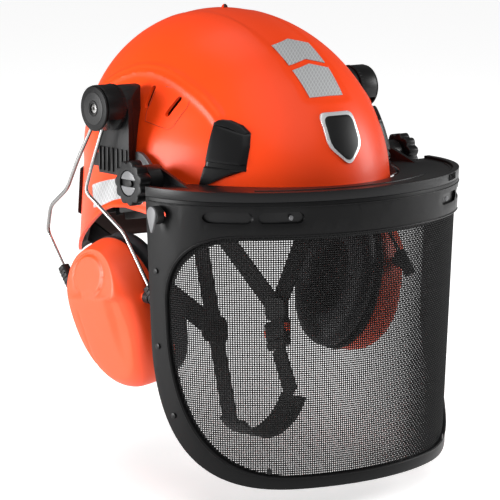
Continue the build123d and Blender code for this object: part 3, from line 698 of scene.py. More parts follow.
# ------------------------------------------------------------------ the shell's form
@dataclass
class ShellForm:
    """Outer form of the shell, in millimetres."""
    half_width: float = 108.0
    half_length: float = 144.0
    crown: float = 126.0
    lean: float = 0.095
    centre_y: float = 4.0
    flare: float = 0.14
    wall: float = 2.6

    def point(self, turn: np.ndarray, level: np.ndarray, offset: float = 0.0) -> np.ndarray:
        """Points of the surface.

        Args:
            turn: angle round the shell, 0 at the wearer's left and pi/2 at the back.
            level: height above the opening's level; up to the crown.
            offset: distance outwards.

        Returns:
            Points in millimetres.
        """
        top = self.crown + offset
        share = np.sqrt(np.clip(1 - (np.clip(level, 0, top) / top) ** 2, 0, 1))
        spread = np.clip(-level, 0, None) * self.flare
        x = ((self.half_width + offset) * share + spread * 0.75) * np.cos(turn)
        y = ((self.half_length + offset) * share
             + spread) * np.sin(turn) + self.centre_y + self.lean * level
        return np.stack([x, y, level + 0 * turn], axis=1)

    def side_x(self, y: np.ndarray, z: np.ndarray, offset: float = 0.0) -> np.ndarray:
        """Half-width of the surface at a place of the side view."""
        top = self.crown + offset
        share = np.sqrt(np.clip(1 - (np.clip(z, 0, top) / top) ** 2, 1e-6, 1))
        spread = np.clip(-z, 0, None) * self.flare
        along = (y - self.centre_y - self.lean * z) / ((self.half_length + offset) * share + spread)
        return ((self.half_width + offset) * share + spread
                * 0.75) * np.sqrt(np.clip(1 - along ** 2, 1e-6, 1))

    def front_y(self, x: np.ndarray, z: np.ndarray, offset: float = 0.0) -> np.ndarray:
        """Y of the surface's front half at a place of the front view."""
        top = self.crown + offset
        share = np.sqrt(np.clip(1 - (np.clip(z, 0, top) / top) ** 2, 1e-6, 1))
        along = x / ((self.half_width + offset) * share)
        return self.centre_y + self.lean * z - (self.half_length + offset) * share * np.sqrt(
            np.clip(1 - along ** 2, 1e-6, 1))

    def crown_z(self, x: np.ndarray, y: np.ndarray, offset: float = 0.0) -> np.ndarray:
        """Height of the surface over a place of the plan."""
        level = np.full_like(x, self.crown)
        for _ in range(12):
            along = (y - self.centre_y - self.lean * level) / (self.half_length + offset)
            level = (self.crown
                     + offset) * np.sqrt(np.clip(1 - (x / (self.half_width + offset)) ** 2 - along ** 2,
                                                            0, 1))
        return level


FORM = ShellForm()
LOWER_EDGE = [(-400, -4), (-74, -4), (-56, -28), (-36, -28), (-20, -25.6), (0, -24), (20, -26.3),
              (34, -31), (46, -38),
              (98, -68), (112, -76), (400, -76)]
RIDGE_LINE = smooth_line([(96, 45), (76, 57.5), (60, 67), (44, 74), (20, 81), (-3, 81.8), (-23.4, 77.9),
                          (-40.3, 71.8),
                          (-56, 64.2), (-68, 56), (-77, 48)])
PANEL_OUTLINE = [(-11.5, 71), (-10.8, 57), (-9.4, 52), (-10.8, 43.8), (-29, 40.6), (-37, 39.4),
                 (-40.2, 41.6),
                 (-46.8, 56.3), (-46.8, 61.8), (-43.4, 65.0), (-28, 70)]
CREASE_LINE = np.array([(-30.0, 6.0), (-38.6, 3.4), (-47.3, 0.3), (-60.0, -3.2), (-70.8, -3.9)])


def line_distance(line: np.ndarray, a: np.ndarray, b: np.ndarray) -> np.ndarray:
    """Distance from places (a, b) to a line of flat points."""
    best = np.full(len(a), 1e9)
    for start, end in zip(line[:-1], line[1:]):
        along = end - start
        share = np.clip(((a - start[0]) * along[0] + (b - start[1]) * along[1])
                        / max(along.dot(along), 1e-9), 0, 1)
        best = np.minimum(best, np.hypot(a - start[0] - share * along[0],
                                         b - start[1] - share * along[1]))
    return best


def ease(value: np.ndarray, low: float, high: float) -> np.ndarray:
    """Smooth step from 0 at low to 1 at high."""
    t = np.clip((value - low) / (high - low), 0, 1)
    return t * t * (3 - 2 * t)


@dataclass
class ShellAssembly:
    """Shell, reflectors, badge and the lamp clips that are stuck or clipped on it."""
    columns: int = 330
    rows: int = 116
    ridge_rise: float = 1.3
    ridge_half: float = 3.9
    channel_depth: float = 1.3
    channel_half: float = 19.5
    channel_foot: float = 60.0
    vents: tuple[tuple[float, float, float], ...] = ((-7.5, 62.0, 90.0), (-34.3, 56.5, 115.0))
    vent_size: Flat = (17.0, 4.5)
    film_thick: float = 0.5

    def edge_level(self, turn: np.ndarray) -> np.ndarray:
        """Height of the lower edge at each angle round the shell."""
        low, high = np.full_like(turn, -80.0), np.full_like(turn, 20.0)
        ys, zs = np.array(LOWER_EDGE).T
        for _ in range(30):
            middle = (low + high) / 2
            y = FORM.point(turn, middle)[:, 1]
            above = middle > np.interp(y, ys, zs)
            high = np.where(above, middle, high)
            low = np.where(above, low, middle)
        return high

    def channel(self, x: np.ndarray, z: np.ndarray) -> np.ndarray:
        """Depth of the crown's channel at a place of the front view."""
        across = 1 - ease(np.abs(x), self.channel_half, self.channel_half + 2.5)
        return self.channel_depth * across * ease(z, self.channel_foot, self.channel_foot + 4)

    def relief(self, points: np.ndarray, edge: np.ndarray) -> np.ndarray:
        """Moulded relief of the outer face.

        Args:
            points: points of the plain form.
            edge: height of the lower edge below each point.

        Returns:
            Distance to move each point outwards.
        """
        x, y, z = points.T
        side = ease(np.abs(x), 46, 60)
        ridge = line_distance(RIDGE_LINE, y, z)
        band = (1 - ease(ridge, self.ridge_half - 1.1, self.ridge_half + 0.9)) * self.ridge_rise
        band -= 0.6 * (1 - ease(ridge, 0.8, 2.4))
        below = ease(np.interp(y, RIDGE_LINE[::-1, 0], RIDGE_LINE[::-1, 1]) - z, 3, 9)
        dish = below * ease(z, 26, 46) * ease(y, -88, -66) * ease(-y, -92, -70) * -0.9
        crease = np.interp(y, CREASE_LINE[::-1, 0], CREASE_LINE[::-1, 1], left=-99, right=99)
        dish += 0.9 * ease(crease - z, -0.8, 0.8) * ease(-y, 34, 42)
        ends = ease(y, -79, -74) * ease(-y, -98, -86)
        rise = side * (band * ends + dish)
        front = ease(-y, 20, 50)
        channel = -self.channel(x, z)
        rise += channel * ease(z + 60 * front, 60, 120)
        lip = (1 - ease(z - edge, 3.0, 4.6)) * ease(y, -60, -52) * 0.9
        return rise + lip

    def build_shell(self) -> None:
        """Builds the shell with its ridges, channel, rim and vents."""
        steps = np.linspace(0, 1, 2001)
        angles = 2 * pi * steps
        density = 1 + 2.0 * (np.abs(np.cos(angles)) > 0.45)
        spread = np.concatenate([[0], np.cumsum((density[1:] + density[:-1]) / 2)])
        spread /= spread[-1]

        def place(u: np.ndarray, v: np.ndarray) -> np.ndarray:
            """Wraps the grid over the shell, rows running from the lower edge to the crown."""
            turn = np.interp(u, spread, angles)
            edge = self.edge_level(turn)
            climb = np.clip(v, 0, 1)
            skirt = np.arcsin(np.clip(edge / FORM.crown, -1, 1))
            lat = skirt + (pi / 2 - skirt) * (climb * 0.82 + 0.18 * climb ** 2)
            level = np.where(lat < 0, np.sin(lat) * FORM.crown, FORM.crown * np.sin(lat))
            points = FORM.point(turn, level)
            outward = FORM.point(turn, level, 1.0) - FORM.point(turn, level)
            outward[:, 2] = np.clip(level / FORM.crown, 0, 1) ** 2
            outward /= np.linalg.norm(outward, axis=1)[:, None]
            return points + outward * self.relief(points, edge)[:, None]

        piece = sheet_piece("shell_moulding", self.columns, self.rows, place)
        tidy_faces(piece)
        piece.data.materials.append(SHELL_ORANGE.make())
        # The inner wall gets this painted shade material through the solidify's material offset.
        piece.data.materials.append(SHELL_INSIDE_SHADE.make())
        modify(piece, "SOLIDIFY", thickness=FORM.wall * MM, offset=-1, use_even_offset=False,
               material_offset=1)
        cutters = []
        for sign in (-1, 1):
            for y, z, turn in self.vents:
                lean = radians(turn)
                outline = [(y + a * cos(lean) - b * sin(lean), z + a * sin(lean) + b * cos(lean))
                           for a, b in stadium(*self.vent_size)]
                cutters.append(slab("vent_cutter", outline, lambda a, b, s=sign: (s * 60, a, b),
                                    (sign * 60, 0, 0), 0))
        cut_out(piece, join(cutters, "vent_cutter"))
        soften(piece, 42)
        settle(piece, "helmet", SHELL_ORANGE, "shell_orange", "shell")
        for sign in (-1, 1):
            # These rods along the panel's edge carry painted shade, a darker orange than the shell.
            line = resample(PANEL_OUTLINE + [PANEL_OUTLINE[0]], np.linspace(0, 1, 90))[4:84]
            spots = [(sign * float(FORM.side_x(np.array([y]), np.array([z]), -0.85)[0]), y, z) for y,
                     z in line]
            settle(rod(f"panel_line_{'right' if sign < 0 else 'left'}", spots, 0.32, 6), "helmet",
                   PANEL_EDGE_SHADE, "shell_orange")

    def tape(self, name: str, top: Sequence[Flat], bottom: Sequence[Flat], lay: Callable,
             lift: float = 0.55,
             columns: int = 44, rows: int = 24) -> bpy.types.Object:
        """Lays a film between two border lines on the shell.

        Args:
            name: name of the piece.
            top: upper or first border, in the plane of the view it is drawn in.
            bottom: the other border, drawn in the same direction.
            lay: turns arrays of places and an offset into points on the shell.
            lift: thickness over the shell's form.
            columns: faces along the borders.
            rows: faces between them.

        Returns:
            The film.
        """
        shares = np.linspace(0, 1, columns + 1)
        first, second = resample(top, shares), resample(bottom, shares)

        def place(u: np.ndarray, v: np.ndarray) -> np.ndarray:
            """Lays the grid on the shell."""
            k = np.rint(u * columns).astype(int)
            flat = second[k] * (1 - v[:, None]) + first[k] * v[:, None]
            return lay(flat[:, 0], flat[:, 1], lift)

        piece = sheet_piece(name, columns, rows, place)
        tidy_faces(piece)
        outward = np.array([p.normal[:] for p in piece.data.polygons]).mean(0)
        middle = get_points(piece).mean(0) - np.array([0, 4, 0])
        if outward.dot(middle) < 0:
            piece.data.flip_normals()
        modify(piece, "SOLIDIFY", thickness=self.film_thick * MM, offset=-1)
        soften(piece, 35)
        return piece

    def build_reflectors(self) -> None:
        """Lays the reflective films."""
        def on_front(x: np.ndarray, z: np.ndarray, lift: float) -> np.ndarray:
            """Front view places to points."""
            return np.stack([x, FORM.front_y(x, z) - lift + self.channel(x, z), z], axis=1)

        def on_crown(x: np.ndarray, y: np.ndarray, lift: float) -> np.ndarray:
            """Plan view places to points."""
            return np.stack([x, y, FORM.crown_z(x, y) + lift - self.channel_depth], axis=1)

        upper = self.tape("front_film_upper", [(-18.5, 102), (0, 106), (18.5, 102)],
                          [(-18, 88), (0, 92), (18, 88)], on_front, lift=0.7)
        settle(upper, "helmet", FILM, "reflective", "front_reflector_upper")
        lower = self.tape("front_film_lower", [(-18, 84.5), (0, 88.5), (18, 84.5)],
                          [(-16.5, 65), (0, 65.5), (16.5, 65)], on_front)
        settle(lower, "helmet", FILM, "reflective", "front_reflector_lower")
        crown = self.tape("crown_film", [(-18.5, 9), (0, 4), (18.5, 9)],
                          [(-18.5, -16), (0, -21), (18.5, -16)], on_crown)
        settle(crown, "helmet", FILM, "reflective", "crown_reflector")
        halves = []
        for sign in (-1, 1):
            def on_side(y: np.ndarray, z: np.ndarray, lift: float, s: int = sign) -> np.ndarray:
                """Side view places to points."""
                return np.stack([s * (FORM.side_x(y, z) + lift), y, z], axis=1)

            top = rounded_line([(-22, -1), (14, -3), (56, -13), (57, -16)], 3)
            bottom = rounded_line([(-20, -19), (8, -18), (36, -27), (52, -31)], 3)
            halves.append(self.tape("side_film", top, bottom, on_side))
        settle(join(halves, "side_films"), "helmet", FILM, "reflective", "side_reflectors")

    def build_badge(self) -> None:
        """Builds the plain badge on the forehead: a bright rim round a dark field."""
        def outline(inset: float) -> list[Flat]:
            """Outline of the badge drawn in by inset."""
            w, h = 16.5 - inset, 20.0 - inset
            return rounded([(-w, 34 + h), (w, 34 + h), (w, 34 - h * 0.25), (0, 34 - h),
                            (-w, 34 - h * 0.25)], 6, 6)

        def curved(name: str, inset: float, low: float, high: float, bevel: float) -> bpy.types.Object:
            """Badge layer between two offsets from the shell."""
            piece = slab(name, outline(inset), lambda x, z: (x, 0, z), (0, 10, 0), 0)
            open_mesh(piece)
            for x in range(-16, 17, 2):
                bpy.ops.mesh.select_all(action="SELECT")
                bpy.ops.mesh.bisect(plane_co=(x * MM, 0, 0), plane_no=(1, 0, 0))
            for z in range(16, 54, 3):
                bpy.ops.mesh.select_all(action="SELECT")
                bpy.ops.mesh.bisect(plane_co=(0, 0, z * MM), plane_no=(0, 0, 1))
            close_mesh()
            points = get_points(piece)
            lift = np.where(points[:, 1] < 5, high, low)
            points[:, 1] = FORM.front_y(points[:, 0], points[:, 2]) - lift
            set_points(piece, points)
            tidy_faces(piece)
            round_edges(piece, bevel, 2, 50)
            return piece

        settle(curved("badge_rim_piece", 0, 0.1, 1.6, 0.4), "helmet", BADGE_SILVER, "plaque",
               "front_plaque")
        settle(curved("badge_field", 2.6, 1.3, 1.9, 0.2), "helmet", BLACK_SATIN, "plaque")

    def build_clips(self) -> None:
        """Builds the front and rear lamp clips of both sides."""
        fronts, rears = [], []
        for sign in (-1, 1):
            def pad(name: str, left: Sequence[Flat], right: Sequence[Flat], high: float, s: int = sign
                    ) -> bpy.types.Object:
                """Cushion-edged pad on the shell between two borders."""
                shares = np.linspace(0, 1, 25)
                a, b = resample(left, shares), resample(right, shares)

                def place(u: np.ndarray, v: np.ndarray) -> np.ndarray:
                    """Lays the pad on the shell with rolled edges."""
                    k = np.rint(u * 24).astype(int)
                    flat = b[k] * (1 - v[:, None]) + a[k] * v[:, None]
                    rim = np.minimum(np.minimum(u, 1 - u) * 24 / 1.6, np.minimum(v, 1 - v) * 18 / 1.4)
                    lift = 0.1 + (high - 0.1) * np.sqrt(np.clip(1 - (1 - np.clip(rim, 0, 1)) ** 2, 0,
                                                                1))
                    y, z = flat.T
                    return np.stack([s * (FORM.side_x(y, z) + lift), y, z], axis=1)

                piece = sheet_piece(name, 24, 18, place)
                if s < 0:
                    piece.data.flip_normals()
                if piece.data.polygons[200].normal.x * s < 0:
                    piece.data.flip_normals()
                soften(piece, 60)
                return piece

            fronts.append(pad("clip_pad", [(-73.7, 47.2), (-74.2, 38), (-74.5, 28), (-74.5, 17.6)],
                              [(-98.6, 39.6), (-100.8, 30), (-101.4, 22), (-101.6, 15.4)], 3.6))
            fronts.append(pad("clip_crown", [(-73.8, 46.6), (-77.4, 49.5), (-83.6, 49.2), (-92.3, 45.6),
                                             (-98.4, 40.2)],
                              [(-73.9, 45.6), (-80, 45), (-86, 43.5), (-92, 41), (-98.5, 38.6)], 3.6))
            fronts.append(pad("clip_seam", [(-73.9, 19), (-73.9, 13)], [(-101.6, 17), (-101.8, 11.5)],
                              1.4))
            fronts.append(pad("clip_heel", [(-73.9, 15.2), (-73.2, 6.3), (-72.2, -1.2)],
                              [(-102.4, 12.6), (-88, 6.2), (-73.2, -1.8)], 3.2))
            rears.append(pad("rear_clip_pad", [(101, -5), (103, -26), (105, -45)],
                             [(121, -7), (122, -28), (123, -49)], 3.6))
        settle(join(fronts, "front_clips"), "helmet", BLACK_SATIN, "black_plastic", "lamp_clips_front")
        settle(join(rears, "rear_clips"), "helmet", BLACK_SATIN, "black_plastic", "lamp_clips_rear")

    def build(self) -> None:
        """Builds the whole assembly."""
        self.build_shell()
        self.build_reflectors()
        self.build_badge()
        self.build_clips()


def stadium(length: float, width: float, steps: int = 8) -> list[Flat]:
    """Outline of a slot with round ends, centred on the origin."""
    r, half = width / 2, length / 2 - width / 2
    right = [(half + r * cos(a), r * sin(a)) for a in np.linspace(-pi / 2, pi / 2, steps)]
    return right + [(-x, -y) for x, y in right]


def rounded_line(points: Sequence[Flat], steps: int) -> list[Flat]:
    """Open line smoothed through its points."""
    return [tuple(p) for p in smooth_line(points, steps)]


# ------------------------------------------------------------------ visor
@dataclass
class VisorForm:
    """Half-oval tapering wall of the visor, in millimetres."""
    half_width: float = 143.5
    depth: float = 111.0
    rear_y: float = -71.0
    top_z: float = -4.0
    height: float = 220.0
    taper: float = 0.06 / 200

    def point(self, turn: np.ndarray, z: np.ndarray, outset: float = 0.0) -> np.ndarray:
        """Points of the wall.

        Args:
            turn: angle from the wearer's left (0) round the front to the right (pi).
            z: height.
            outset: distance outwards from the frame's outer face.

        Returns:
            Points in millimetres.
        """
        share = 1 - self.taper * (self.top_z - z)
        x = (self.half_width * share + outset) * np.cos(turn)
        y = self.rear_y - (self.depth * share + outset) * np.sin(turn)
        return np.stack([x, y, z + 0 * turn], axis=1)

    def reach(self, y: np.ndarray, z: np.ndarray, outset: float = 0.0) -> np.ndarray:
        """Half-width of the wall at a place of the side view."""
        share = 1 - self.taper * (self.top_z - z)
        along = (self.rear_y - y) / (self.depth * share + outset)
        return (self.half_width * share + outset) * np.sqrt(np.clip(1 - along ** 2, 0, 1))


WALL = VisorForm()


@dataclass
class VisorAssembly:
    """Brow guard, frame with its wire cloth, arms, knobs and locking levers."""
    wire_radius: float = 0.54
    pitch_z: float = 1.68
    uprights: int = 208
    cloth_outset: float = -3.0
    cloth_rear: float = WALL.rear_y - 11.5
    brow_corner: Flat = (55.0, 54.0)
    chin_corner: Flat = (78.5, 111.4)
    swing: float = 0.28
    bead_radius: float = 0.65
    peg: Flat = (78.0, -15.5)
    pivot: Flat = (-45.0, 2.6)
    lobes: int = 11
    lobe_steps: int = 12
    knob_radius: float = 15.0
    lobe_rise: float = 2.4
    lever: Flat = (-88.0, -16.0)
    lever_face: float = 142.6

    def borders(self, y: np.ndarray) -> tuple[np.ndarray, np.ndarray]:
        """Lowest and highest height of the cloth at each y."""
        rear, top, bottom = self.cloth_rear, WALL.top_z - 24.0, WALL.top_z - WALL.height + 5.0
        (high_y, high_z), (low_y, low_z) = self.brow_corner, self.chin_corner
        high_share = np.sqrt(np.clip(1 - ((y - rear + high_y) / high_y) ** 2, 0, 1))
        low_share = np.sqrt(np.clip(1 - ((y - rear + low_y) / low_y) ** 2, 0, 1))
        upper = np.where(y > rear - high_y, top - high_z + high_z * high_share, top)
        lower = np.where(y > rear - low_y, bottom + low_z - low_z * low_share, bottom)
        return lower, upper

    def strands(self, name: str, lines: Sequence[np.ndarray]) -> bpy.types.Object:
        """Builds three-sided wires along lines, each one a strip copied from the same pattern of faces.

        Args:
            name: name of the piece.
            lines: centrelines with their outward directions, six numbers to a point.

        Returns:
            The wires as one piece.
        """
        corners, faces, base = [], [], 0
        for line in lines:
            spots, outward = line[:, :3], line[:, 3:]
            along = np.gradient(spots, axis=0)
            along /= np.linalg.norm(along, axis=1)[:, None]
            across = np.cross(along, outward)
            count = len(spots)
            for turn in (pi / 2, pi / 2 + 2 * pi / 3, pi / 2 + 4 * pi / 3):
                corners.append(spots + self.wire_radius * (sin(turn) * outward + cos(turn) * across))
            k = np.arange(count - 1)
            for a, b in ((0, 1), (1, 2), (2, 0)):
                faces.append(np.stack([base + a * count + k, base + a * count + k + 1,
                                       base + b * count + k + 1,
                                       base + b * count + k], axis=1))
            base += 3 * count
        mesh = bpy.data.meshes.new(name)
        mesh.from_pydata((np.concatenate(corners) * MM).tolist(), [], np.concatenate(faces).tolist())
        piece = bpy.data.objects.new(name, mesh)
        bpy.context.scene.collection.objects.link(piece)
        open_mesh(piece)
        bpy.ops.mesh.normals_make_consistent(inside=False)
        close_mesh()
        bpy.ops.object.shade_smooth()
        return piece

    def build_cloth(self) -> None:
        """Weaves the wire cloth from uprights and cross wires."""
        fine = np.linspace(0.02, pi - 0.02, 4000)
        trace = WALL.point(fine, np.full(4000, -110.0), self.cloth_outset)
        reach = np.concatenate([[0], np.cumsum(np.linalg.norm(np.diff(trace, axis=0), axis=1))])
        turns = np.interp(np.linspace(0, reach[-1], self.uprights), reach, fine)
        levels = np.arange(WALL.top_z - WALL.height + 5, WALL.top_z - 23.9, self.pitch_z)

        def outward(turn: np.ndarray) -> np.ndarray:
            """Directions out of the wall."""
            way = np.stack([np.cos(turn) / WALL.half_width, -np.sin(turn) / WALL.depth, 0 * turn],
                           axis=1)
            return way / np.linalg.norm(way, axis=1)[:, None]

        uprights, crosses = [], []
        for number, turn in enumerate(turns):
            y = WALL.point(np.full(len(levels), turn), levels, self.cloth_outset)[:, 1]
            low, high = self.borders(y)
            kept = (levels > low) & (levels < high) & (y < self.cloth_rear)
            if kept.sum() < 3:
                continue
            phase = np.where((np.arange(len(levels)) + number) % 2, self.swing, -self.swing)
            spots = WALL.point(np.full(len(levels), turn), levels, self.cloth_outset)
            way = outward(np.full(len(levels), turn))
            uprights.append(np.hstack([spots + way * phase[:, None], way])[kept])
        for row, level in enumerate(levels):
            z = np.full(len(turns), level)
            spots = WALL.point(turns, z, self.cloth_outset)
            low, high = self.borders(spots[:, 1])
            kept = (z > low) & (z < high) & (spots[:, 1] < self.cloth_rear)
            if kept.sum() < 3:
                continue
            phase = np.where((np.arange(len(turns)) + row) % 2, -self.swing, self.swing)
            way = outward(turns)
            crosses.append(np.hstack([spots + way * phase[:, None], way])[kept])
        settle(self.strands("cloth_uprights", uprights), "visor", WIRE_CLOTH, "mesh_wire", "visor_mesh")
        settle(self.strands("cloth_cross_wires", crosses), "visor", WIRE_CLOTH, "mesh_wire")

    def opening_line(self, margin: float = 0.0) -> np.ndarray:
        """Border of the frame's opening in the side view, from the brow to the chin."""
        rear, top = WALL.rear_y - 18 + margin, WALL.top_z - 26 + margin
        bottom = WALL.top_z - WALL.height + 9.5 - margin
        low_y, low_z = 89.0 - 0.9 * 18, 109.0 + 0.2 * 18
        high_y, high_z = self.brow_corner
        upper = [(rear - high_y + high_y * cos(a), top - high_z + high_z * sin(a))
                 for a in np.linspace(pi / 2, 0, 24)]
        lower = [(rear - low_y + low_y * cos(a),
                  bottom + low_z + low_z * sin(a)) for a in np.linspace(0, -pi / 2, 40)]
        return np.array(upper + lower)

    def build_frame(self) -> None:
        """Dresses the frame and adds the rolled beads round its borders."""
        settle(cad_copy("visor_frame", 0.5), "visor", FRAME_BLACK, "black_plastic", "visor_frame")
        settle(cad_copy("visor_retainer", 0.3), "visor", BLACK_SATIN, "black_plastic", "visor_retainer")
        settle(cad_copy("frame_rivets", 0.3), "visor", BLACK_SATIN, "black_plastic", "frame_rivets")
        side, outset = self.opening_line(0.9), -0.1
        half = [(-float(WALL.reach(np.array([y]), np.array([z]), outset)[0]), y, z) for y, z in side]

        def across(y: float, z: float) -> list[Point]:
            """Arc round the front at one height, between the two ends of the side borders."""
            share = 1 - WALL.taper * (WALL.top_z - z)
            start = np.arcsin(min(1.0, (WALL.rear_y - y) / (WALL.depth * share + outset)))
            return [tuple(p) for p in WALL.point(np.linspace(pi - start, start, 60), np.full(60, z),
                                                 outset)]

        mirror = [(-x, y, z) for x, y, z in half]
        loop = half + across(*side[-1])[1:-1] + mirror[::-1] + across(*side[0])[1:-1][::-1]
        beads = [rod("opening_bead", loop + [loop[0]], self.bead_radius, 8)]
        rim = [tuple(p) for p in WALL.point(np.linspace(pi - 0.03, 0.03, 120),
                                            np.full(120, WALL.top_z - 3.2), 0.0)]
        beads.append(rod("brow_bead", rim, 0.6, 8))
        settle(join(beads, "frame_beads"), "visor", FRAME_BLACK, "black_plastic")
        pegs = []
        for x, z in ((-self.peg[0], self.peg[1]), self.peg):
            y = WALL.rear_y - WALL.depth * sqrt(1 - (x / WALL.half_width) ** 2) + 1.6
            peg = slab("slot_peg", ring_outline(2.0, 2.0, 18, (x, z)), lambda a, b, d=y: (a, d, b),
                       (0, -1.0, 0), 0.5)
            pegs.append(peg)
        # The pegs are black plastic coloured grey as a painted highlight on their tips.
        settle(join(pegs, "slot_pegs"), "visor", KNOB_SHEEN_GREY, "black_plastic")

    def build_guard(self) -> None:
        """Dresses the brow guard and adds its raised ridge and grille."""
        settle(cad_copy("brow_guard", 0.8, segments=3), "visor", BLACK_SATIN, "black_plastic",
               "brow_guard")
        parts = []
        for inset, radius, end in ((7.0, 0.9, 0.35), (24.0, 0.7, 0.75)):
            spots = []
            for a in np.linspace(end, pi - end, 90):
                spots.append(((WALL.half_width - inset) * cos(a),
                              WALL.rear_y - (WALL.depth - inset * 0.92) * sin(a), 1.45))
            parts.append(rod("guard_ridge", spots, radius, 8))
        for k in range(5):
            turn = 0.86 + 0.028 * k
            foot = WALL.point(np.array([turn]), np.array([-2.0]), 0.25)[0]
            head = WALL.point(np.array([turn]), np.array([3.0]), 0.25)[0]
            parts.append(rod("grille_rib", [foot, (foot + head) / 2, head], 0.5, 6))
        settle(join(parts, "guard_ridges"), "visor", BLACK_SATIN, "black_plastic")

    def build_arms(self) -> None:
        """Dresses the two carrier arms and builds the star knobs."""
        # The arms are coloured with painted sheen, grey in place of their black plastic.
        settle(cad_copy("visor_arms", 0.7, segments=3), "helmet", ARM_SHEEN_GREY, "black_plastic",
               "visor_arms")
        y0, z0 = self.pivot
        outline = []
        steps = self.lobes * self.lobe_steps
        for k in range(steps):
            a = 2 * pi * k / steps
            lobe = 0.5 + 0.5 * cos(self.lobes * a)
            radius = self.knob_radius + self.lobe_rise * lobe ** 0.55
            outline.append((y0 + radius * cos(a), z0 + radius * sin(a)))
        crown = slab("star_crown", outline, lambda y, z: (-130.9, y, z), (-10.2, 0, 0), 1.0, 3)
        well = slab("star_well", ring_outline(10.2, 10.2, 40, (y0, z0)), lambda y, z: (-139.2, y, z),
                    (-5, 0, 0), 0)
        cut_out(crown, well)
        round_edges(crown, 0.4, 2, 50)
        settle_pair(crown, "star_crown", "star", BLACK_SATIN, "black_plastic", "star_knob")
        halves = []
        for sign in (-1, 1):
            arc = [(y0 + 9.4 * cos(a), z0 + 9.4 * sin(a)) for a in np.linspace(0.28, pi - 0.28, 20)]
            if sign < 0:
                arc = [(2 * y0 - y, 2 * z0 - z) for y, z in arc]
            halves.append(slab("star_half", arc, lambda y, z: (-139.0, y, z), (-1.9, 0, 0), 0.5))
        # The knob halves are black plastic coloured grey as painted sheen.
        settle_pair(join(halves, "star_halves"), "star_halves", "star", KNOB_SHEEN_GREY, "black_plastic")
        boss = slab("star_boss", ring_outline(4.6, 3.0, 30, (y0, z0)), lambda y, z: (-139.0, y, z),
                    (-2.0, 0, 0), 0.7)
        settle_pair(boss, "star_boss", "star", BLACK_GRAIN, "black_plastic")
        (lever_y, lever_z), face = self.lever, self.lever_face
        drum = slab("lever_drum", ring_outline(6.9, 6.9, 40, (lever_y, lever_z)), lambda y,
                    z: (-face - 0.6, y, z), (-6.6, 0, 0), 1.0, 3)
        tear = []
        for a in np.linspace(0, 2 * pi, 40, endpoint=False):
            pull = max(0.0, -sin(a))
            tear.append((lever_y + 5.4 * cos(a) * (1 - 0.5 * pull ** 1.5),
                         lever_z + 1.2 + 5.6 * sin(a) - 8.6 * pull ** 1.4))
        tab = slab("lever_tab", tear, lambda y, z: (-face - 6.6, y, z), (-1.9, 0, 0), 0.8, 3)
        # The lever tab is black plastic coloured grey as painted sheen.
        tab.data.materials.append(KNOB_SHEEN_GREY.make())
        drum.data.materials.append(BLACK_GRAIN.make())
        settle_pair(join([drum, tab], "lever"), "lever", "lever", BLACK_GRAIN, "black_plastic",
                    "lock_lever")

    def build(self) -> None:
        """Builds the whole assembly."""
        self.build_guard()
        self.build_frame()
        self.build_cloth()
        self.build_arms()


